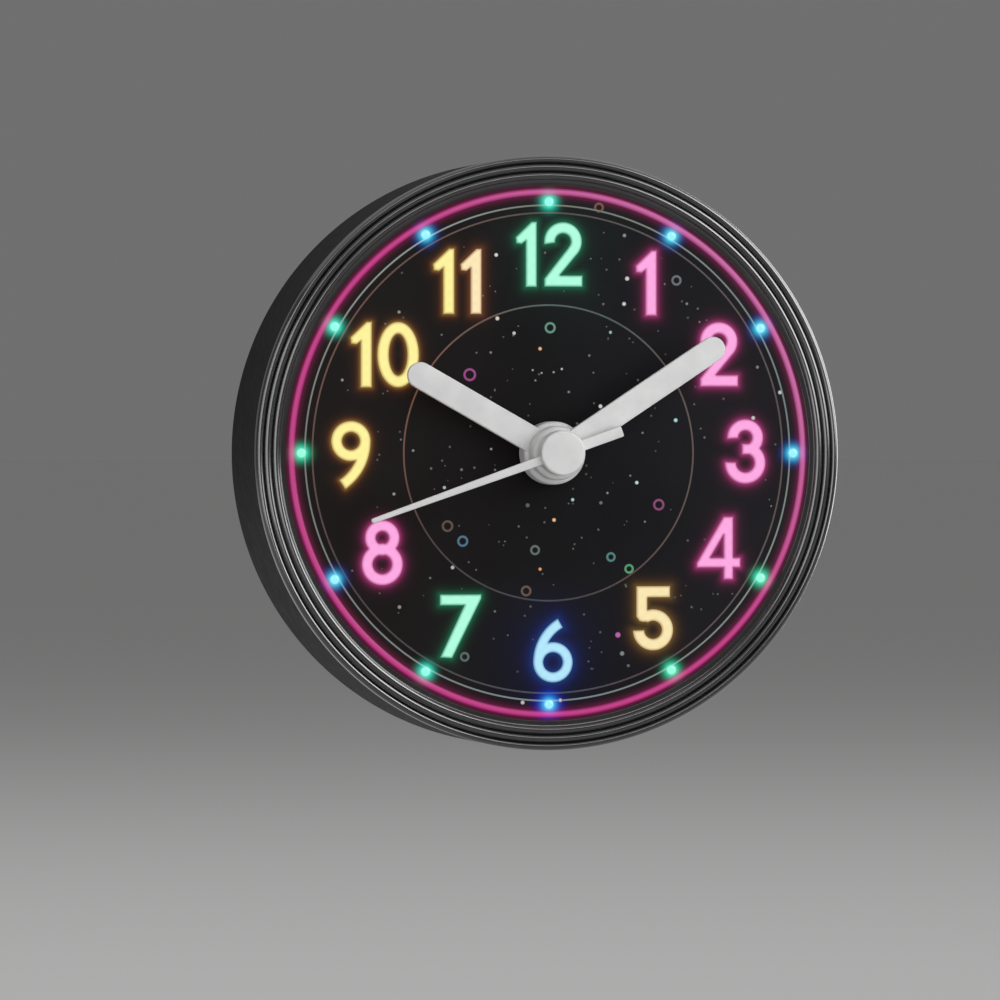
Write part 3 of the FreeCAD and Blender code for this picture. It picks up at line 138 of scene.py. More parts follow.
# ---- materials -------------------------------------------------------------------------------
class Nodes:
    """Short way to write a node material."""

    def __init__(self, name):
        self.material = bpy.data.materials.new(name)
        self.material.use_nodes = True
        self.tree = self.material.node_tree
        self.shader = self.tree.nodes["Principled BSDF"]

    def add(self, kind, **values):
        node = self.tree.nodes.new(kind)
        for key, value in values.items():
            setattr(node, key, value)
        return node

    def link(self, source, target):
        self.tree.links.new(source, target)

    def position(self, stretch=(1, 1, 1)):
        spot = self.add("ShaderNodeTexCoord")
        mapping = self.add("ShaderNodeMapping")
        mapping.inputs["Scale"].default_value = stretch
        self.link(spot.outputs["Object"], mapping.inputs["Vector"])
        return mapping.outputs["Vector"]

    def noise(self, scale, detail=3.0, rough=0.55, stretch=(1, 1, 1)):
        noise = self.add("ShaderNodeTexNoise")
        noise.inputs["Scale"].default_value = scale
        noise.inputs["Detail"].default_value = detail
        noise.inputs["Roughness"].default_value = rough
        self.link(self.position(stretch), noise.inputs["Vector"])
        return noise.outputs["Fac"]

    def ramp(self, source, low, high, first, last):
        ramp = self.add("ShaderNodeValToRGB")
        ramp.color_ramp.elements[0].position = low
        ramp.color_ramp.elements[1].position = high
        ramp.color_ramp.elements[0].color = (*first, 1)
        ramp.color_ramp.elements[1].color = (*last, 1)
        self.link(source, ramp.inputs["Fac"])
        return ramp.outputs["Color"]

    def span(self, source, low, high):
        """Value 0 to 1 spread over a range."""
        span = self.add("ShaderNodeMapRange")
        span.inputs["From Min"].default_value = 0.3
        span.inputs["From Max"].default_value = 0.7
        span.inputs["To Min"].default_value = low
        span.inputs["To Max"].default_value = high
        self.link(source, span.inputs["Value"])
        return span.outputs["Result"]

    def bump(self, height, strength, distance, normal=None):
        bump = self.add("ShaderNodeBump")
        bump.inputs["Strength"].default_value = strength
        bump.inputs["Distance"].default_value = distance
        self.link(height, bump.inputs["Height"])
        if normal is not None:
            self.link(normal, bump.inputs["Normal"])
        return bump.outputs["Normal"]

    def edge_wear(self, low=0.52, high=0.62):
        """1 on convex edges, 0 elsewhere, broken up by noise."""
        geometry = self.add("ShaderNodeNewGeometry")
        edge = self.add("ShaderNodeMapRange")
        edge.inputs["From Min"].default_value = low
        edge.inputs["From Max"].default_value = high
        self.link(geometry.outputs["Pointiness"], edge.inputs["Value"])
        patchy = self.add("ShaderNodeMath", operation="MULTIPLY")
        self.link(edge.outputs["Result"], patchy.inputs[0])
        self.link(self.noise(900, 2), patchy.inputs[1])
        return patchy.outputs[0]

    def mix(self, share, first, last):
        mix = self.add("ShaderNodeMix", data_type="RGBA")
        self.link(share, mix.inputs["Factor"])
        for socket, value in ((mix.inputs[6], first), (mix.inputs[7], last)):
            if isinstance(value, tuple):
                socket.default_value = (*value, 1)
            else:
                self.link(value, socket)
        return mix.outputs[2]

    def surface(self, colour, rough, metal=0.0, specular=0.5, normal=None):
        self.link(colour, self.shader.inputs["Base Color"])
        self.link(rough, self.shader.inputs["Roughness"])
        self.shader.inputs["Metallic"].default_value = metal
        self.shader.inputs["Specular IOR Level"].default_value = specular
        if normal is not None:
            self.link(normal, self.shader.inputs["Normal"])
        return self.material


def moulded(name, dark, light, rough_low, rough_high, grain=2600, depth=0.00003, specular=0.5,
            strength=0.5):
    """Moulded plastic: cloudy colour, spark-eroded grain and lighter rubbed edges."""
    n = Nodes(name)
    colour = n.ramp(n.noise(120, 5), 0.35, 0.7, dark, light)
    rubbed = tuple(min(1.0, 1.7 * c + 0.012) for c in light)
    colour = n.mix(n.edge_wear(), colour, rubbed)
    rough = n.span(n.noise(340, 4), rough_low, rough_high)
    normal = n.bump(n.noise(grain, 2, 0.6), strength, depth)
    return n.surface(colour, rough, specular=specular, normal=normal)


def polished(name, dark, light, rough_low, rough_high):
    """Glossy plastic: faint haze, fine hairlines and dust."""
    n = Nodes(name)
    colour = n.ramp(n.noise(210, 4), 0.4, 0.7, dark, light)
    rough = n.span(n.noise(60, 5), rough_low, rough_high)
    wave = n.bump(n.noise(90, 3), 0.08, 0.0001)
    normal = n.bump(n.noise(5200, 2), 0.12, 0.00001, wave)
    return n.surface(colour, rough, normal=normal)


def metal(name, dark, light, rough_low, rough_high, stretch=(1, 1, 1)):
    """Plated or brushed metal with fine drawn lines and stains."""
    n = Nodes(name)
    colour = n.ramp(n.noise(160, 5), 0.35, 0.7, dark, light)
    rough = n.span(n.noise(1200, 3, 0.6, stretch), rough_low, rough_high)
    normal = n.bump(n.noise(2400, 2, 0.6, stretch), 0.25, 0.00002)
    return n.surface(colour, rough, metal=1.0, normal=normal)


def glowing(name, base, rough=0.3, specular=0.3):
    """Surface that gives off the light in its mesh's colour layer "light": lit from within for the
    lamps, painted glow for the printed lines and stars. Faint cloudiness.
    """
    n = Nodes(name)
    light = n.add("ShaderNodeVertexColor", layer_name="light")
    cloudy = tuple(c * 1.6 for c in base)
    colour = n.ramp(n.noise(240, 4), 0.35, 0.7, base, cloudy)
    roughness = n.span(n.noise(420, 3), rough - 0.04, rough + 0.06)
    normal = n.bump(n.noise(900, 2), 0.12, 0.00001)
    n.surface(colour, roughness, specular=specular, normal=normal)
    n.link(light.outputs["Color"], n.shader.inputs["Emission Color"])
    n.shader.inputs["Emission Strength"].default_value = 1.0
    return n.material


# ---- digit shapes ------------------------------------------------------------------------------
DIGITS = {
    0: [("oval", 0, 0, 5.3, 8.2, 2.9)],
    1: [("poly", [(-1.4, -8.2), (1.4, -8.2), (1.4, 8.2), (0.1, 8.2), (-4.0, 4.3),
                  (-3.8, 2.8), (-2.5, 2.6), (-1.4, 3.4)])],
    2: [("arc", 0, 3.3, 3.45, 2.8, -45, 189),
        ("poly", [(3.7, 0.2), (-2.5, -7.2), (-4.8, -6.1), (1.5, 1.8)]),
        ("poly", [(-4.8, -8.1), (-4.8, -6.1), (-4.1, -5.3), (5.0, -5.3), (5.0, -8.1)])],
    3: [("arc", 0, 3.5, 3.25, 2.8, -55, 183), ("arc", 0, -2.9, 3.85, 2.8, -182, 72),
        ("poly", [(-0.8, -0.7), (-0.8, 1.9), (2.4, 1.9), (2.4, -0.7)])],
    4: [("poly", [(-1.2, 7.9), (1.2, 7.9), (1.2, -7.9), (-1.2, -7.9)]),
        ("poly", [(-8.2, -4.9), (-8.2, -3.8), (-1.2, 7.9), (-0.8, 4.2), (-5.1, -2.9)]),
        ("poly", [(-8.2, -4.9), (3.1, -4.9), (3.1, -2.5), (-7.4, -2.5)])],
    5: [("poly", [(-4.3, 5.3), (-4.3, 8.1), (4.4, 8.1), (4.4, 5.3)]),
        ("poly", [(-4.3, 8.1), (-1.5, 8.1), (-1.5, -0.9), (-2.6, -0.9), (-3.5, -0.7),
                  (-4.3, 0.4)]),
        ("arc", 0, -2.95, 3.75, 2.9, -178, 128)],
    6: [("arc", 0, -3.1, 3.8, 2.6, 0, 360), ("arc", 7.6, -3.1, 11.4, 2.6, 120, 180)],
    7: [("poly", [(-5.3, 5.2), (-5.3, 7.9), (5.3, 7.9), (5.3, 6.9), (-2.2, -8.1),
                  (-5.2, -7.9), (1.0, 5.2)])],
    8: [("arc", 0, 3.7, 3.05, 2.7, 0, 360), ("arc", 0, -2.95, 3.85, 2.75, 0, 360)],
    9: [("arc", 0, 3.1, 3.65, 2.7, 0, 360), ("arc", -9.5, 3.1, 13.15, 2.7, -56, 0)],
}

# hour, rise above the numeral's place, digits as (digit, offset to the right, colour)
NUMERALS = [
    (1, -0.3, [(1, 1.4, "pink")]),
    (2, 0.0, [(2, 0.7, "pink")]),
    (3, 0.4, [(3, 0.9, "pink")]),
    (4, 0.9, [(4, 3.2, "pink")]),
    (5, 1.5, [(5, 1.9, "cream")]),
    (6, 0.3, [(6, 1.0, "blue")]),
    (7, -0.2, [(7, 2.25, "green")]),
    (8, 0.0, [(8, 0.5, "pink")]),
    (9, -0.1, [(9, -0.8, "yellow")]),
    (10, -0.3, [(1, -3.6, "yellow"), (0, 4.55, "yellow")]),
    (11, -0.1, [(1, -0.8, "yellow"), (1, 6.2, "peach")]),
    (12, 0.1, [(1, -4.6, "green"), (2, 3.6, "green")]),
]

# colour: middle of the stroke, its edge, painted glow on the dial beside it in linear light, and how
# far that painted glow reaches
GLOWS = {
    "pink": ((252, 165, 224), (172, 88, 140), (0.36, 0.035, 0.16), (0.62, 0.5, 0.6)),
    "yellow": ((252, 240, 152), (172, 140, 80), (0.23, 0.14, 0.025), (0.54, 0.36, 0.35)),
    "cream": ((246, 228, 174), (172, 138, 92), (0.13, 0.075, 0.014), (0.95, 0.8, 0.7)),
    "peach": ((250, 228, 180), (160, 116, 84), (0.13, 0.045, 0.012), (0.85, 0.7, 0.6)),
    "blue": ((174, 228, 250), (70, 112, 160), (0.003, 0.03, 0.15), (0.8, 0.8, 1.25)),
    "green": ((172, 252, 220), (66, 142, 112), (0.004, 0.125, 0.058), (0.6, 0.68, 0.68)),
}


def arc_field(x, z, cx, cz, radius, width, start, end):
    """Distance outside a bar along an arc, negative inside."""
    across = np.abs(np.hypot(x - cx, z - cz) - radius) - width / 2
    if end - start >= 360:
        return across
    angle = np.mod(np.degrees(np.arctan2(z - cz, x - cx)) - start, 360)
    sweep = end - start
    outside = np.minimum(angle - sweep, 360 - angle)
    along = np.where(angle <= sweep, -np.minimum(angle, sweep - angle), outside)
    along = np.clip(np.radians(along), -1.5, 1.5) * np.hypot(x - cx, z - cz)
    far = (across > 0) & (along > 0)
    return np.where(far, np.hypot(across, along), np.maximum(across, along))


def poly_field(x, z, corners):
    best = np.full(x.shape, 1e9)
    inside = np.zeros(x.shape, bool)
    for (ax, az), (bx, bz) in zip(corners, corners[1:] + corners[:1]):
        ux, uz = bx - ax, bz - az
        share = np.clip(((x - ax) * ux + (z - az) * uz) / (ux * ux + uz * uz), 0, 1)
        best = np.minimum(best, np.hypot(x - ax - share * ux, z - az - share * uz))
        if az != bz:
            crossing = ax + (z - az) / (bz - az) * (bx - ax)
            inside ^= ((az > z) != (bz > z)) & (x < crossing)
    return np.where(inside, -best, best)


def oval_field(x, z, cx, cz, half_width, half_height, width):
    def level(a, b):
        u, v = np.abs(x - cx) / a, np.abs(z - cz) / b
        size = np.maximum(np.hypot(u, v), 1e-6)
        return (size - 1) * size / np.maximum(np.hypot(u / a, v / b), 1e-6)
    return np.maximum(level(half_width, half_height),
                      -level(half_width - width, half_height - width))


def digit_field(x, z, digit):
    kinds = {"arc": arc_field, "poly": poly_field, "oval": oval_field}
    field = np.full(x.shape, 1e9)
    for kind, *sizes in DIGITS[digit]:
        field = np.minimum(field, kinds[kind](x, z, *sizes))
    return field


def placed_digits():
    """(name, digit, middle x, middle z, colour) of every digit on the dial."""
    for hour, rise, digits in NUMERALS:
        x, z = clock_point(NUMERAL_CIRCLE, 30 * hour)
        for place, (digit, offset, colour) in enumerate(digits):
            yield f"{hour}_{place}", digit, x + offset, z + rise, colour


def grid_faces(inside):
    """Quads of the True cells of a grid, with the grid points they use."""
    rows, columns = np.nonzero(inside)
    width = inside.shape[1] + 1
    first = rows * width + columns
    quads = np.stack([first, first + 1, first + width + 1, first + width], 1)
    used, index = np.unique(quads, return_inverse=True)
    return used, index.reshape(quads.shape)


def domed_digit(name, digit, cx, cz, colour):
    """Translucent digit: a domed face on a short wall sunk into the dial."""
    cell = 0.2
    columns = np.arange(-9.0, 6.2, cell)
    rows = np.arange(-9.6, 9.6, cell)
    gx, gz = np.meshgrid(columns, rows)
    middle_x, middle_z = gx[:-1, :-1] + cell / 2, gz[:-1, :-1] + cell / 2
    used, quads = grid_faces(digit_field(middle_x, middle_z, digit) < 0)
    x, z = gx.ravel()[used], gz.ravel()[used]
    edge_count = {}
    for quad in quads:
        for a, b in zip(quad, np.roll(quad, -1)):
            key = (min(a, b), max(a, b))
            edge_count[key] = edge_count.get(key, 0) + 1
    rim_edges = [e for e, count in edge_count.items() if count == 1]
    rim = np.unique(np.array(rim_edges).ravel())
    step = 0.01
    for _ in range(6):
        field = digit_field(x[rim], z[rim], digit)
        slope_x = (digit_field(x[rim] + step, z[rim], digit) - field) / step
        slope_z = (digit_field(x[rim], z[rim] + step, digit) - field) / step
        size = np.maximum(slope_x ** 2 + slope_z ** 2, 0.3)
        x[rim] -= np.clip(field * slope_x / size, -0.12, 0.12)
        z[rim] -= np.clip(field * slope_z / size, -0.12, 0.12)
    inward = np.array([np.hypot(a - x[rim], b - z[rim]).min() for a, b in zip(x, z)])
    shoulder = 1 - np.clip(inward / 0.55, 0, 1)
    depth = DIAL_FRONT + PROUD * np.sqrt(np.clip(1 - shoulder ** 2, 0, 1))
    depth[rim] = DIAL_FRONT + 0.06
    vertices = [(cx + a, d, cz + b) for a, d, b in zip(x, depth, z)]
    faces = [tuple(int(i) for i in quad) for quad in quads]
    lower = {int(v): len(vertices) + i for i, v in enumerate(rim)}
    vertices += [(cx + x[v], DIAL_FRONT - 0.6, cz + z[v]) for v in rim]
    faces += [(int(a), int(b), lower[int(b)], lower[int(a)]) for a, b in rim_edges]
    made = make_object("digit_" + name, vertices, faces, "case", SLOTS[colour])
    core, edge, _, _ = GLOWS[colour]
    inward = np.concatenate([inward, np.zeros(len(rim))])
    share = smoothstep(-0.15, 0.7, inward)[:, None]
    shade = linear(*edge) * (1 - share) + linear(*core) * share
    wander = 1 + 0.025 * np.sin(1.9 * made_axis(made, 0)) * np.sin(2.3 * made_axis(made, 2))
    set_colours(made, "light", shade * wander[:, None])
    made.data.materials.append(NUMERAL_GLOW[colour])
    return made


def made_axis(made, axis):
    """One coordinate of every vertex, in millimetres."""
    flat = np.zeros(len(made.data.vertices) * 3, np.float32)
    made.data.vertices.foreach_get("co", flat)
    return flat.reshape(-1, 3)[:, axis].astype(float) / MM


SLOTS = {"pink": "numeral_pink", "yellow": "numeral_yellow", "cream": "numeral_yellow",
         "peach": "numeral_peach", "blue": "numeral_blue", "green": "numeral_green"}
NUMERAL_GLOW = {
    colour: glowing("lit_numeral_" + colour, base=(0.015, 0.015, 0.015), rough=0.35,
                    specular=0.12)
    for colour in GLOWS
}

digit_objects = {}
for label, digit, cx, cz, colour in placed_digits():
    digit_objects.setdefault(SLOTS[colour], []).append(domed_digit(label, digit, cx, cz, colour))
for slot_name, members in digit_objects.items():
    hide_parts(slot_name.replace("numeral_", "numerals_"))

# ---- marker lights -------------------------------------------------------------------------------
# lamp's middle (screen colour), then per channel the strength and width of its glow
CYAN = ((150, 240, 255), (0.40, 1.20, 1.35), (1.10, 1.68, 2.10))
AQUA = ((142, 250, 232), (0.40, 1.35, 1.00), (1.10, 1.88, 1.85))
SEA = ((146, 250, 216), (0.38, 1.30, 0.82), (1.10, 1.88, 1.80))
DEEP = ((148, 236, 255), (0.36, 1.00, 1.30), (1.10, 1.65, 2.60))
MARKERS = {0: AQUA, 30: CYAN, 60: CYAN, 90: CYAN, 120: SEA, 150: SEA, 180: DEEP,
           210: AQUA, 240: CYAN, 270: SEA, 300: AQUA, 330: CYAN}


def lamp_glow(away, strength, width):
    """Linear light that a lamp gives a point at some distance from its middle."""
    return np.array(strength) * np.exp(-(away[:, None] / np.array(width)) ** 2)


def marker_light(angle, core, strength, width):
    """Domed lens over an LED, brightest in the middle."""
    rings, spokes = 7, 32
    cx, cz = clock_point(MARKER_CIRCLE, angle)
    vertices = [(cx, DIAL_FRONT + PROUD, cz)]
    levels = [(i / rings, DIAL_FRONT + 0.1 + 0.3 * (1 - (i / rings) ** 2))
              for i in range(1, rings + 1)] + [(1.0, DIAL_FRONT - 0.6)]
    for share, depth in levels:
        for spoke in range(spokes):
            turn = 2 * math.pi * spoke / spokes
            vertices.append((cx + MARKER_RADIUS * share * math.cos(turn), depth,
                             cz + MARKER_RADIUS * share * math.sin(turn)))
    faces = [(0, 1 + spoke, 1 + (spoke + 1) % spokes) for spoke in range(spokes)]
    for ring in range(rings):
        for spoke in range(spokes):
            ahead = (spoke + 1) % spokes
            faces.append((1 + ring * spokes + spoke, 1 + ring * spokes + ahead,
                          1 + (ring + 1) * spokes + ahead, 1 + (ring + 1) * spokes + spoke))
    kind = "marker_green" if core in (AQUA[0], SEA[0]) else "marker_blue"
    made = make_object(f"marker_{angle:03d}", vertices, faces, "case", kind)
    away = np.hypot(made_axis(made, 0) - cx, made_axis(made, 2) - cz)
    bright = smoothstep(1.25, 0.75, away / MARKER_RADIUS)[:, None]
    set_colours(made, "light", linear(*core) * bright
                + lamp_glow(away, strength, width) * (1 - bright))
    made.data.materials.append(MARKER_GLOW)
    return made, kind


MARKER_GLOW = glowing("lit_marker", base=(0.02, 0.03, 0.03), rough=0.15)
stood_for = set()
for angle, lamp in MARKERS.items():
    lens, kind = marker_light(angle, *lamp)
    if kind not in stood_for:
        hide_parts({"marker_green": "marker_lenses_green",
                           "marker_blue": "marker_lenses_blue"}[kind])
        stood_for.add(kind)


# ---- neon tube --------------------------------------------------------------------------------
def marker_light_at(x, z):
    """Light that the marker lamps spread over the dial and the tube beside them."""
    total = np.zeros((len(x), 3))
    for angle, (_, strength, width) in MARKERS.items():
        cx, cz = clock_point(MARKER_CIRCLE, angle)
        total += 0.8 * lamp_glow(np.hypot(x - cx, z - cz), strength, width)
    return total


def neon_tube():
    """Glowing core in a clear sleeve, bent into a full circle."""
    steps, sides = 480, 24
    middle = DIAL_FRONT + PROUD - NEON_TUBE / 2
    radius = NEON_TUBE / 2
    profile = [(NEON_CIRCLE + radius * math.cos(2 * math.pi * i / sides),
                middle + radius * math.sin(2 * math.pi * i / sides)) for i in range(sides)]
    made = make_object("neon_tube", *revolve(profile, steps), "case", "neon_pink")
    x, z = made_axis(made, 0), made_axis(made, 2)
    clock = np.degrees(np.arctan2(x, z)) % 360
    # the tube is a little paler at the upper right: a painted sheen where the studio light falls
    # from that side
    pale = smoothstep(95, 20, np.abs((clock - 50 + 180) % 360 - 180))
    across = np.abs(np.hypot(x, z) - NEON_CIRCLE) / radius
    core = linear(196, 58, 134) * (1 - pale[:, None]) + linear(200, 100, 160) * pale[:, None]
    rim = linear(84, 8, 46)
    share = np.exp(-(across[:, None] / 0.62) ** 2)
    shade = rim * (1 - share) + core * share
    # painted light that the marker lamps throw on the tube
    shade = shade + 0.6 * marker_light_at(x, z)
    set_colours(made, "light", shade)
    made.data.materials.append(glowing("lit_tube", base=(0.012, 0.004, 0.01), rough=0.3,
                                        specular=0.15))
    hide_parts("neon_ring")


neon_tube()


# ---- dial ---------------------------------------------------------------------------------------
def dial_face():
    """Black panel. Its light layer is painted glow round the lit pieces, with the printed sky's
    faint tint also given as painted glow.
    """
    cell = 0.35
    outer = 71.2
    span = np.arange(-outer - cell, outer + 2 * cell, cell)
    gx, gz = np.meshgrid(span, span)
    middle = np.hypot(gx[:-1, :-1] + cell / 2, gz[:-1, :-1] + cell / 2)
    hole = 4.2
    used, quads = grid_faces((middle < outer - cell / 2) & (middle > hole + cell / 2))
    x, z = gx.ravel()[used], gz.ravel()[used]
    radial = np.hypot(x, z)
    for target, near in ((outer, radial > outer - cell), (hole, radial < hole + cell)):
        x[near] *= target / radial[near]
        z[near] *= target / radial[near]
    count = len(x)
    edge_count = {}
    for a, b in np.concatenate([quads[:, [0, 1]], quads[:, [1, 2]], quads[:, [2, 3]],
                                quads[:, [3, 0]]]):
        key = (int(min(a, b)), int(max(a, b)))
        edge_count[key] = edge_count.get(key, 0) + 1
    rim_edges = [e for e, times in edge_count.items() if times == 1]
    vertices = [(a, DIAL_FRONT, b) for a, b in zip(x, z)]
    rim = sorted({v for e in rim_edges for v in e})
    lower = {v: count + i for i, v in enumerate(rim)}
    vertices += [(x[v], DIAL_BACK, z[v]) for v in rim]
    faces = [tuple(int(i) for i in quad) for quad in quads]
    faces += [(a, b, lower[b], lower[a]) for a, b in rim_edges]
    made = make_object("dial_face", vertices, faces, "case", "dial_acrylic", smooth=False)

    shade = np.zeros((count, 3))
    for _, digit, cx, cz, colour in placed_digits():
        _, _, glow, reach = GLOWS[colour]
        near = (np.abs(x - cx) < 22) & (np.abs(z - cz) < 22)
        away = np.maximum(digit_field(x[near] - cx, z[near] - cz, digit), 0)
        # painted halo: the numeral's glow painted onto the dial round it
        painted_halo = np.exp(-away[:, None] / np.array(reach)) + 0.03 * np.exp(-(away[:, None] / 3) ** 2)
        shade[near] = np.maximum(shade[near], painted_halo * np.array(glow))
    # painted glow of the neon tube on the dial round it
    ring = np.abs(np.hypot(x, z) - NEON_CIRCLE) - NEON_TUBE / 2
    shade += np.exp(-np.maximum(ring, 0) / 0.6)[:, None] * np.array((0.085, 0.002, 0.028))
    # painted glow of the marker lamps on the dial
    shade += marker_light_at(x, z)
    # faint cloudy tint of the printed sky, given as painted glow: reddish to the left, bluish low,
    # grey at the right
    left = smoothstep(20, -60, x)[:, None]
    low = smoothstep(24, 0, np.hypot(x, z + 50))[:, None]
    right = smoothstep(-10, 60, x)[:, None]
    high = smoothstep(30, 0, np.hypot(x - 4, z - 50))[:, None]
    shade += left * linear(14, 7, 4) + low * linear(4, 8, 34) + right * linear(15, 13, 17)
    shade += high * linear(4, 16, 14)
    full = np.zeros((len(vertices), 3))
    full[:count] = shade
    set_colours(made, "light", full)
    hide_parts("dial_panel", "numeral_counters")

    n = Nodes("dial_print_painted_glow")
    light = n.add("ShaderNodeVertexColor", layer_name="light")
    cloud = n.ramp(n.noise(35, 6, 0.6), 0.35, 0.75, (0.0065, 0.0065, 0.0072),
                   (0.0095, 0.0095, 0.0105))
    rough = n.span(n.noise(420, 4), 0.42, 0.55)
    normal = n.bump(n.noise(3000, 2), 0.15, 0.00001)
    n.surface(cloud, rough, specular=0.02, normal=normal)
    # the light layer drives the emission: painted glow over the black print
    n.link(light.outputs["Color"], n.shader.inputs["Emission Color"])
    n.shader.inputs["Emission Strength"].default_value = 1.0
    made.data.materials.append(n.material)


dial_face()


# ---- printed rings and stars ---------------------------------------------------------------------
def flat_ring(vertices, faces, cx, cz, radius, width, depth, spokes):
    """Adds a thin printed ring, slightly raised like screen-print ink."""
    first = len(vertices)
    for offset, rise in ((-width / 2, 0), (-width / 4, 0.02), (width / 4, 0.02), (width / 2, 0)):
        for spoke in range(spokes):
            turn = 2 * math.pi * spoke / spokes
            vertices.append((cx + (radius + offset) * math.sin(turn), depth + rise,
                             cz + (radius + offset) * math.cos(turn)))
    for lane in range(3):
        for spoke in range(spokes):
            ahead = (spoke + 1) % spokes
            faces.append((first + lane * spokes + spoke, first + lane * spokes + ahead,
                          first + (lane + 1) * spokes + ahead, first + (lane + 1) * spokes + spoke))


def printed_ring(name, radius, width, colours):
    """Thin printed line round the dial whose colour drifts round the clock, given as painted glow
    with the marker lamps' painted light added.
    """
    vertices, faces = [], []
    flat_ring(vertices, faces, 0, 0, radius, width, DIAL_FRONT + 0.005, 480)
    made = make_object(name, vertices, faces, "case", "dial_acrylic")
    x, z = made_axis(made, 0), made_axis(made, 2)
    clock = np.degrees(np.arctan2(x, z)) % 360
    stops = sorted(colours)
    table = np.array([linear(*colours[a]) for a in stops])
    stops = np.array(stops + [stops[0] + 360], float)
    table = np.vstack([table, table[:1]])
    shade = 0.75 * np.stack([np.interp(clock, stops, table[:, i]) for i in range(3)], 1)
    # painted light of the marker lamps on the line
    shade += 0.8 * marker_light_at(x, z)
    set_colours(made, "light", shade)
    made.data.materials.append(PRINT_GLOW)


INNER_LINE, LINE_WIDTH = 37.3, 0.42
# The tables below, colour stops by clock angle, circles and stars, aren't worked out from driving
# dimensions, and they should be: this is an open failure.
# printed lines and stars are given their own glow: painted light on print
PRINT_GLOW = glowing("print_painted_glow", base=(0.01, 0.01, 0.01), rough=0.45)
printed_ring("inner_line", INNER_LINE, LINE_WIDTH, {
    0: (70, 92, 86), 30: (62, 78, 72), 60: (84, 66, 60), 90: (88, 66, 60), 130: (82, 60, 54),
    160: (62, 44, 44), 180: (40, 48, 66), 205: (42, 38, 44), 235: (58, 36, 40), 270: (110, 62, 44),
    300: (122, 72, 50), 330: (104, 70, 58)})
printed_ring("outer_brown_line", 60.6, LINE_WIDTH, {
    0: (70, 60, 52), 40: (72, 66, 66), 80: (78, 58, 56), 120: (84, 72, 66), 160: (66, 46, 54),
    180: (44, 62, 84), 200: (58, 56, 60), 240: (52, 40, 48), 270: (90, 58, 46), 300: (104, 62, 48),
    330: (92, 60, 50)})
printed_ring("outer_white_line", 62.5, LINE_WIDTH, {
    0: (112, 116, 102), 30: (122, 136, 128), 60: (112, 132, 130), 90: (110, 128, 124),
    120: (134, 150, 138), 150: (128, 134, 128), 180: (120, 138, 146), 210: (128, 134, 132),
    240: (120, 128, 128), 270: (112, 118, 112), 300: (138, 142, 132), 330: (150, 160, 158)})

# (x, z, radius, colour) of the small printed circles
CIRCLES = [
    (-20.4, 19.7, 1.35, (160, 48, 132)), (28.4, -13.1, 1.2, (140, 48, 112)),
    (0.3, 31.6, 1.15, (92, 150, 126)), (20.7, -29.3, 0.95, (70, 160, 110)),
    (-22.2, -22.2, 1.15, (58, 112, 138)), (16.0, -26.3, 0.95, (64, 128, 124)),
    (33.0, 43.7, 1.05, (98, 106, 108)), (-3.6, -24.5, 1.0, (90, 104, 98)),
    (-21.7, -51.3, 0.95, (78, 100, 98)), (-26.1, -18.4, 1.2, (84, 60, 48)),
    (-5.9, -34.8, 1.1, (96, 66, 48)), (12.9, 62.0, 1.0, (110, 66, 44)),
]
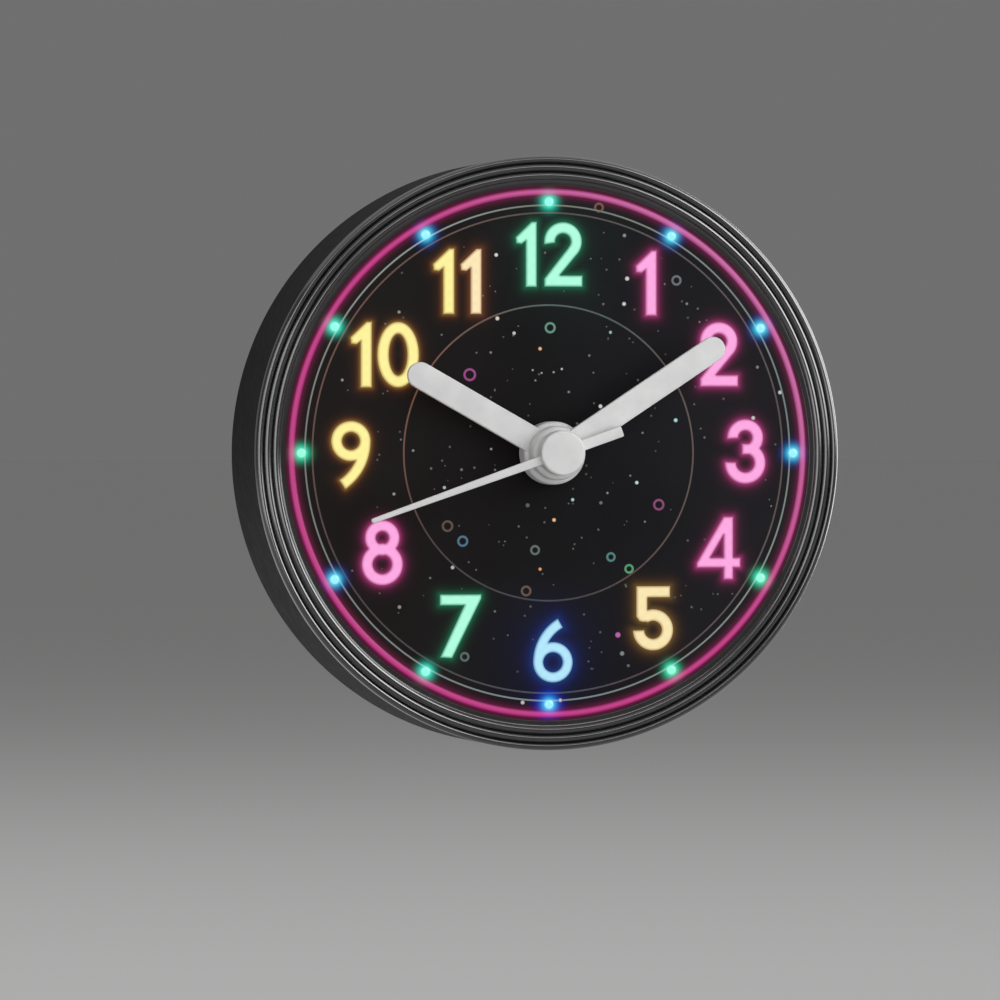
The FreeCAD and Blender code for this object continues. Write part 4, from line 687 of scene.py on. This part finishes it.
# (x, z, radius, colour) of the brighter printed stars
STARS = [
    (-2.3, 26.3, 0.50, (236, 176, 112)), (1.3, -16.9, 0.52, (240, 184, 116)),
    (-2.3, -29.3, 0.45, (228, 150, 84)), (17.8, -46.0, 0.75, (186, 84, 170)),
    (-9.0, 30.2, 0.48, (190, 196, 196)), (-15.0, 25.3, 0.36, (112, 112, 114)),
    (15.9, 30.5, 0.44, (150, 186, 172)), (10.4, 24.6, 0.36, (92, 96, 100)),
    (-4.2, 20.9, 0.30, (150, 150, 152)), (-1.9, 20.2, 0.28, (150, 152, 154)),
    (1.2, 20.4, 0.30, (150, 152, 156)), (3.3, 21.2, 0.34, (176, 178, 180)),
    (-3.5, 18.3, 0.30, (120, 120, 122)), (5.1, 15.4, 0.36, (112, 112, 114)),
    (13.3, 11.8, 0.55, (206, 206, 206)), (32.8, 8.3, 0.55, (160, 214, 208)),
    (24.2, 5.1, 0.32, (120, 104, 96)), (-34.9, 0.6, 0.36, (126, 136, 136)),
    (-14.9, 1.0, 0.34, (136, 146, 142)), (-30.3, -3.9, 0.34, (88, 88, 92)),
    (-22.5, -4.2, 0.40, (98, 98, 100)), (-19.2, -3.7, 0.32, (88, 90, 94)),
    (-26.9, -8.7, 0.46, (170, 178, 178)), (-39.8, -10.3, 0.42, (140, 140, 140)),
    (22.7, -7.5, 0.50, (196, 212, 216)), (6.1, -11.8, 0.46, (172, 196, 192)),
    (15.1, -10.1, 0.32, (124, 132, 132)), (13.4, -12.6, 0.46, (96, 100, 102)),
    (-5.5, -13.2, 0.55, (84, 84, 80)), (24.8, -17.4, 0.30, (104, 112, 104)),
    (-13.6, 49.9, 0.52, (206, 212, 204)), (-13.3, 33.9, 0.56, (216, 206, 190)),
    (-38.5, 35.4, 0.44, (132, 134, 130)), (-42.0, 32.4, 0.32, (84, 90, 86)),
    (-53.0, 18.3, 0.40, (132, 132, 130)), (20.2, 44.1, 0.60, (196, 200, 198)),
    (19.4, 37.7, 0.55, (196, 202, 204)), (35.7, 37.8, 0.38, (108, 116, 112)),
    (19.5, 55.0, 0.50, (122, 130, 136)), (60.0, 15.4, 0.55, (186, 194, 188)),
    (53.0, 8.9, 0.55, (196, 190, 190)), (54.1, 21.8, 0.44, (120, 110, 112)),
    (-45.8, -28.1, 0.42, (168, 134, 156)), (-38.4, -38.7, 0.50, (140, 132, 132)),
    (-24.8, -28.8, 0.52, (176, 180, 180)), (-38.6, -26.4, 0.34, (112, 92, 104)),
    (2.9, -62.4, 0.52, (204, 184, 180)), (18.9, -50.7, 0.62, (112, 126, 124)),
    (20.5, -53.8, 0.42, (80, 92, 88)), (39.0, 33.2, 0.30, (96, 92, 96)),
    (-6.8, -62.9, 0.55, (196, 182, 176)), (-17.0, 39.6, 0.26, (90, 100, 96)),
]


FAINT_STARS, SKY_RADIUS, HUB_CLEAR = 150, 59.5, 9
CIRCLE_LINE, CIRCLE_SPOKES = 0.62, 28


def star_field():
    """Every star and small circle as one printed layer given painted glow, with seeded faint ones
    between.
    """
    vertices, faces, shades = [], [], []

    def dot(x, z, radius, colour):
        spokes = 14
        first = len(vertices)
        middle, rim = linear(*colour) * 0.95, linear(*colour) * 0.25
        for share, rise, shade in ((0.0, 0.035, middle), (0.55, 0.03, middle), (1.0, 0.0, rim)):
            for spoke in range(spokes if share else 1):
                turn = 2 * math.pi * spoke / spokes
                vertices.append((x + radius * share * math.sin(turn), DIAL_FRONT + 0.004 + rise,
                                 z + radius * share * math.cos(turn)))
                shades.append(shade)
        for spoke in range(spokes):
            ahead = (spoke + 1) % spokes
            faces.append((first, first + 1 + spoke, first + 1 + ahead))
            faces.append((first + 1 + spoke, first + 1 + spokes + spoke,
                          first + 1 + spokes + ahead, first + 1 + ahead))

    for x, z, radius, colour in STARS:
        dot(x, z, radius, colour)
    for x, z, radius, colour in CIRCLES:
        flat_ring(vertices, faces, x, z, radius, CIRCLE_LINE, DIAL_FRONT + 0.004, CIRCLE_SPOKES)
        for lane in range(4):
            share = 0.8 if lane in (1, 2) else 0.25
            shades += [linear(*colour) * share] * CIRCLE_SPOKES
    random = np.random.default_rng(7)
    placed = 0
    digits = list(placed_digits())
    while placed < FAINT_STARS:
        radius, angle = SKY_RADIUS * math.sqrt(random.random()), 360 * random.random()
        size, bright = random.uniform(0.16, 0.34), random.uniform(44, 96)
        tint = random.uniform(-12, 12, 3)
        x, z = clock_point(radius, angle)
        point = np.array([x]), np.array([z])
        clear = min(float(digit_field(point[0] - cx, point[1] - cz, digit)[0])
                    for _, digit, cx, cz, _ in digits)
        if radius < HUB_CLEAR or clear < 1.2 or abs(radius - INNER_LINE) < 0.8:
            continue
        dot(x, z, size, tuple(np.clip(bright + tint, 20, 130)))
        placed += 1
    made = make_object("printed_stars", vertices, faces, "case", "dial_acrylic")
    set_colours(made, "light", np.array(shades))
    made.data.materials.append(PRINT_GLOW)


star_field()


# ---- bezel -----------------------------------------------------------------------------------
def bezel():
    """Snap-on ring with three polished ridges and a nearly flat land next to the dial."""
    outer = CASE_RADIUS - 0.02
    top = BEZEL_FRONT - 0.02
    ridges = []
    # outer, middle and inner ridge: (middle radius, half width, top depth)
    for middle, half, height in ((74.05, 0.93, top - 0.1), (72.07, 1.03, top),
                                 (69.95, 1.07, top - 0.1)):
        for step in range(15):
            across = math.cos(math.pi * step / 14)
            ridges.append((middle + half * across, height - 0.9 * abs(across) ** 2.5))
    skirt = CASE_RADIUS - 2.5
    inner = BEZEL_INNER + 0.02
    profile = [(outer, 36.0)] + ridges
    # the land beside the dial, the inner edge, the seat, the skirt in the case and the outer lip
    land = 37.9
    profile += [(68.6, land), (inner + 0.15, land), (inner, 37.75), (inner, 37.52),
                (71.35, 37.52), (71.35, 30.25), (skirt, 30.25), (skirt, 35.22),
                (74.45, 35.22), (74.5, 35.6), (outer, 35.62)]
    made = make_object("bezel", *revolve(profile, 720), "case", "bezel_plastic")
    bevel_smooth(made, 40)
    n = Nodes("bezel_gloss")
    colour = n.ramp(n.noise(260, 4), 0.4, 0.7, (0.006, 0.006, 0.0065), (0.010, 0.010, 0.011))
    rough = n.span(n.noise(70, 5), 0.12, 0.22)
    normal = n.bump(n.noise(140, 3), 0.05, 0.00005)
    n.surface(colour, rough, specular=0.9, normal=normal)
    n.shader.inputs["Coat Weight"].default_value = 0.8
    n.shader.inputs["Coat Roughness"].default_value = 0.12
    made.data.materials.append(n.material)
    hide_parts("bezel_ring")


bezel()


# ---- hands -----------------------------------------------------------------------------------
def blade_outline(width, length, start):
    """Outline of a straight blade towards 12 o'clock with a full-round tip."""
    half = width / 2
    points = [(half, start)]
    for step in range(25):
        turn = math.pi * step / 24
        points.append((half * math.cos(turn), length - half + half * math.sin(turn)))
    points.append((-half, start))
    return points


def needle_outline():
    root, tip, length = 1.15, 0.6, 51.2
    tail, tail_half = 16.5, 1.35
    return [(root, 1.0), (tip, length - 0.4), (tip - 0.3, length), (0.3 - tip, length),
            (-tip, length - 0.4), (-root, 1.0), (-tail_half, -1.0), (-tail_half, -tail + 0.25),
            (-tail_half + 0.25, -tail), (tail_half - 0.25, -tail), (tail_half, -tail + 0.25),
            (tail_half, -1.0)]


def prism(outline, back, front, round_off):
    """bmesh of an outline between two depths, its front and back edges rounded."""
    work = bmesh.new()
    face = work.faces.new([work.verts.new((x * MM, -back * MM, z * MM)) for x, z in outline])
    grown = bmesh.ops.extrude_face_region(work, geom=[face])
    moved = [v for v in grown["geom"] if isinstance(v, bmesh.types.BMVert)]
    bmesh.ops.translate(work, verts=moved, vec=(0, -(front - back) * MM, 0))
    bmesh.ops.recalc_face_normals(work, faces=work.faces)
    edges = [e for e in work.edges if len(e.link_faces) == 2 and
             e.calc_face_angle(0) > 1.2 and
             abs(e.verts[0].co.y - e.verts[1].co.y) < 1e-9]
    bmesh.ops.bevel(work, geom=edges, offset=round_off * MM, segments=4, profile=0.5,
                    affect="EDGES", clamp_overlap=True)
    return work


def drum(radius, back, front, round_off, bore=0.0):
    """bmesh of a round hub."""
    work = bmesh.new()
    profile = [(bore, back), (radius - 0.15, back), (radius, back + 0.15)]
    for step in range(9):
        turn = math.pi / 2 * step / 8
        profile.append((radius - round_off + round_off * math.cos(turn),
                        front - round_off + round_off * math.sin(turn)))
    profile.append((bore, front))
    vertices, faces = revolve(profile, 160, closed=bool(bore))
    made = [work.verts.new((x * MM, -d * MM, z * MM)) for x, d, z in vertices]
    for face in faces:
        work.faces.new([made[i] for i in face])
    bmesh.ops.remove_doubles(work, verts=work.verts, dist=1e-8)
    bmesh.ops.recalc_face_normals(work, faces=work.faces)
    return work


def hand(name, works, angle, body, node, material):
    """Joins bmesh pieces into one hand with a boolean union, turned to its clock angle."""
    pieces = []
    for i, work in enumerate(works):
        mesh = bpy.data.meshes.new(f"{name}_{i}")
        work.to_mesh(mesh)
        work.free()
        piece = bpy.data.objects.new(f"{name}_{i}", mesh)
        bpy.context.scene.collection.objects.link(piece)
        pieces.append(piece)
    made, *others = pieces
    for other in others:
        union = made.modifiers.new("join", "BOOLEAN")
        union.operation = "UNION"
        union.solver = "EXACT"
        union.object = other
    bpy.context.view_layer.update()
    depsgraph = bpy.context.evaluated_depsgraph_get()
    mesh = bpy.data.meshes.new_from_object(made.evaluated_get(depsgraph))
    for piece in pieces:
        bpy.data.objects.remove(piece)
    turn = math.radians(angle)
    for vertex in mesh.vertices:
        x, y, z = vertex.co
        vertex.co = (x * math.cos(turn) + z * math.sin(turn), y,
                     z * math.cos(turn) - x * math.sin(turn))
    mesh.polygons.foreach_set("use_smooth", [True] * len(mesh.polygons))
    made = bpy.data.objects.new(name, mesh)
    bpy.context.scene.collection.objects.link(made)
    bevel_smooth(made, 32)
    mesh.materials.clear()
    mesh.materials.append(material)
    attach(made, body)
    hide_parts(node)
    return made


def hand_material():
    n = Nodes("hand_white")
    colour = n.ramp(n.noise(140, 6), 0.35, 0.7, (0.56, 0.56, 0.56), (0.64, 0.64, 0.635))
    colour = n.mix(n.edge_wear(0.54, 0.7), colour, (0.72, 0.72, 0.71))
    rough = n.span(n.noise(500, 4), 0.38, 0.52)
    normal = n.bump(n.noise(2600, 3), 0.3, 0.00002)
    return n.surface(colour, rough, specular=0.4, normal=normal)


HAND = hand_material()
hand("hour_hand_moulding",
     [drum(7.95, 38.62, 45.2, 1.3, 2.4), prism(blade_outline(6.6, 42.8, 4.0), 43.4, 45.19, 0.35)],
     HOUR_ANGLE, "hours", "hour_hand", HAND)
hand("minute_hand_moulding",
     [drum(6.8, 45.62, 50.1, 1.6, 1.5), prism(blade_outline(6.3, 50.6, 3.5), 48.5, 50.09, 0.35)],
     MINUTE_ANGLE, "minutes", "minute_hand", HAND)
hand("second_hand_moulding",
     [drum(5.65, 50.62, 55.2, 0.7), prism(needle_outline(), 52.0, 53.2, 0.22)],
     SECOND_ANGLE, "seconds", "second_hand", HAND)

# ---- materials of the CAD pieces that stay -----------------------------------------------------
BLACK = moulded("case_black", (0.0035, 0.0035, 0.0037), (0.006, 0.006, 0.0063), 0.5, 0.58,
                grain=2200, specular=0.07)
COVER = moulded("cover_black", (0.014, 0.014, 0.0145), (0.021, 0.021, 0.022), 0.36, 0.46,
                grain=1500, depth=0.00004, specular=0.4)
DARK = moulded("movement_black", (0.014, 0.014, 0.015), (0.022, 0.022, 0.024), 0.45, 0.6)
COMPONENT = moulded("component_black", (0.02, 0.02, 0.022), (0.035, 0.035, 0.04), 0.35, 0.5)
FERRITE = moulded("ferrite_grey", (0.05, 0.05, 0.055), (0.09, 0.09, 0.095), 0.5, 0.7)
ACETAL = moulded("acetal_white", (0.80, 0.80, 0.77), (0.88, 0.88, 0.85), 0.35, 0.5)
WHITE = moulded("spacer_white", (0.78, 0.78, 0.78), (0.86, 0.86, 0.86), 0.5, 0.65)
OPAL = moulded("opal_sheet", (0.84, 0.84, 0.82), (0.9, 0.9, 0.88), 0.4, 0.55)
GREY = moulded("knob_grey", (0.42, 0.42, 0.43), (0.5, 0.5, 0.51), 0.42, 0.55, grain=1800)
RUBBER = moulded("gasket_rubber", (0.02, 0.02, 0.02), (0.03, 0.03, 0.03), 0.7, 0.85, grain=1400)
SLEEVE = polished("cell_sleeve", (0.03, 0.03, 0.035), (0.05, 0.05, 0.06), 0.2, 0.35)
WIRE_RED = moulded("lead_red", (0.34, 0.015, 0.015), (0.45, 0.03, 0.03), 0.4, 0.55)
MASK_WHITE = polished("mask_white", (0.82, 0.82, 0.8), (0.9, 0.9, 0.88), 0.25, 0.4)
MASK_GREEN = polished("mask_green", (0.012, 0.13, 0.05), (0.02, 0.2, 0.08), 0.25, 0.4)
LAMP = polished("lamp_package", (0.85, 0.82, 0.6), (0.95, 0.93, 0.8), 0.2, 0.35)
STEEL = metal("zinc_steel", (0.42, 0.42, 0.43), (0.62, 0.62, 0.62), 0.24, 0.42, (1, 1, 8))
IRON = metal("silicon_iron", (0.3, 0.3, 0.31), (0.42, 0.42, 0.44), 0.35, 0.5)
MAGNET = metal("magnet_grey", (0.18, 0.18, 0.19), (0.28, 0.28, 0.3), 0.35, 0.5)
NICKEL = metal("nickel_contact", (0.58, 0.57, 0.54), (0.76, 0.75, 0.72), 0.2, 0.35)
BRASS = metal("turned_brass", (0.62, 0.44, 0.18), (0.8, 0.62, 0.3), 0.2, 0.36)
COPPER = metal("enamelled_wire", (0.55, 0.2, 0.08), (0.72, 0.34, 0.17), 0.25, 0.4, (12, 1, 1))

BY_SLOT = {
    "case_plastic": BLACK, "bezel_plastic": BLACK, "dial_acrylic": BLACK, "opal": OPAL,
    "white_plastic": WHITE, "solder_mask": MASK_WHITE, "green_board": MASK_GREEN,
    "led_white": LAMP, "movement_plastic": DARK, "gear_white": ACETAL, "knob_plastic": GREY,
    "brass": BRASS, "steel": STEEL, "silicon_iron": IRON, "magnet": MAGNET,
    "copper_wire": COPPER, "rubber": RUBBER, "cell_wrap": SLEEVE, "contact": NICKEL,
    "lead_insulation": WIRE_RED, "component": COMPONENT, "ferrite": FERRITE,
    "hand_white": HAND, "neon_pink": BLACK, "marker_green": BLACK, "marker_blue": BLACK,
    "numeral_green": BLACK, "numeral_pink": BLACK, "numeral_yellow": BLACK,
    "numeral_peach": BLACK, "numeral_blue": BLACK,
}
BY_NODE = {"rear_cover": COVER, "battery_door": COVER, "switch_slider": GREY}
for part in frame["record"]["subparts"]:
    node = frame["nodes"][part["node"]]
    node.data.materials.clear()
    node.data.materials.append(BY_NODE.get(part["node"], BY_SLOT[part["material_slot"]]))


# ---- studio ----------------------------------------------------------------------------------
def stage_floor():
    """Plain pale floor below the clock."""
    mesh = bpy.data.meshes.new("floor")
    size, level = 300.0, -0.30
    mesh.from_pydata([(-size, -size, level), (size, -size, level), (size, size, level),
                      (-size, size, level)], [], [(0, 1, 2, 3)])
    floor = bpy.data.objects.new("floor", mesh)
    bpy.context.scene.collection.objects.link(floor)
    material = bpy.data.materials.new("floor_pale")
    material.use_nodes = True
    shader = material.node_tree.nodes["Principled BSDF"]
    shader.inputs["Base Color"].default_value = (0.98, 0.98, 0.975, 1)
    shader.inputs["Roughness"].default_value = 0.9
    shader.inputs["Specular IOR Level"].default_value = 0.1
    mesh.materials.append(material)
    # a light that takes this collection as its receivers leaves the floor out
    without_floor = bpy.data.collections.new("floor_only")
    without_floor.objects.link(floor)
    without_floor.collection_objects[0].light_linking.link_state = "EXCLUDE"
    return without_floor


CLOCK_MIDDLE = (0, -0.03, 0)


def softbox(name, where, width, height, power, aim=CLOCK_MIDDLE, reaches_floor=False,
            glossy=True, diffuse=True):
    """Rectangular lamp. Without glossy it gives no highlight, without diffuse only highlights."""
    data = bpy.data.lights.new(name, "AREA")
    data.shape = "RECTANGLE"
    data.size, data.size_y = width, height
    data.energy = power
    lamp = bpy.data.objects.new(name, data)
    lamp.location = where
    lamp.visible_camera = False
    lamp.visible_glossy = glossy
    lamp.visible_diffuse = diffuse
    lamp.rotation_mode = "QUATERNION"
    lamp.rotation_quaternion = (Vector(aim) - Vector(where)).to_track_quat("-Z", "Y")
    bpy.context.scene.collection.objects.link(lamp)
    if not reaches_floor:
        lamp.light_linking.receiver_collection = WITHOUT_FLOOR


WITHOUT_FLOOR = stage_floor()
softbox("front", (0.34, -1.12, 0.12), 1.30, 0.85, 9.0, glossy=False)
softbox("sheen_right", (1.00, -0.53, 0.50), 1.60, 1.00, 22.0, diffuse=False)
softbox("sheen_left", (-0.69, -0.98, 0.0), 1.12, 1.20, 11.0, diffuse=False)
softbox("sheen_above", (0.23, -1.06, 0.52), 0.90, 0.25, 2.6, diffuse=False)
softbox("upper_right", (0.69, -0.64, 0.34), 0.45, 0.45, 1.6)
softbox("far_left", (-1.0, -0.25, 0.0), 0.25, 1.2, 2.0)
softbox("rear", (0.85, 1.0, 0.2), 1.1, 0.9, 6.5, aim=(0, 0, 0))
softbox("right_side", (1.15, 0.05, 0.28), 0.3, 0.6, 1.4)
softbox("ceiling", (0.0, 0.6, 2.6), 6.0, 6.0, 60.0, aim=(0, 0.6, 0), reaches_floor=True)

WORLD = (0.16, 0.16, 0.16)
world = bpy.data.worlds.new("studio")
bpy.context.scene.world = world
world.use_nodes = True
world.node_tree.nodes["Background"].inputs["Color"].default_value = (*WORLD, 1)
world.node_tree.nodes["Background"].inputs["Strength"].default_value = 1.0
bpy.context.scene.view_settings.view_transform = "Standard"

# ---- camera: level, 12 degrees to the left of the clock's axis ------------------------------------
LENS, SENSOR = 250.0, 36.0
VIEW_WIDTH = 0.2523         # width that the frame covers at the dial
AZIMUTH = math.radians(-12.0)
distance = VIEW_WIDTH * LENS / SENSOR
aim = Vector((0, -DIAL_FRONT * MM, 0))
back = Vector((math.sin(AZIMUTH), -math.cos(AZIMUTH), 0))
lens = bpy.data.cameras.new("camera")
lens.lens, lens.sensor_width = LENS, SENSOR
lens.shift_x, lens.shift_y = -0.049, -0.047
lens.clip_start, lens.clip_end = 0.05, 1000
camera = bpy.data.objects.new("camera", lens)
camera.location = aim + back * distance
camera.rotation_mode = "QUATERNION"
camera.rotation_quaternion = (-back).to_track_quat("-Z", "Y")
bpy.context.scene.collection.objects.link(camera)
bpy.context.scene.camera = camera
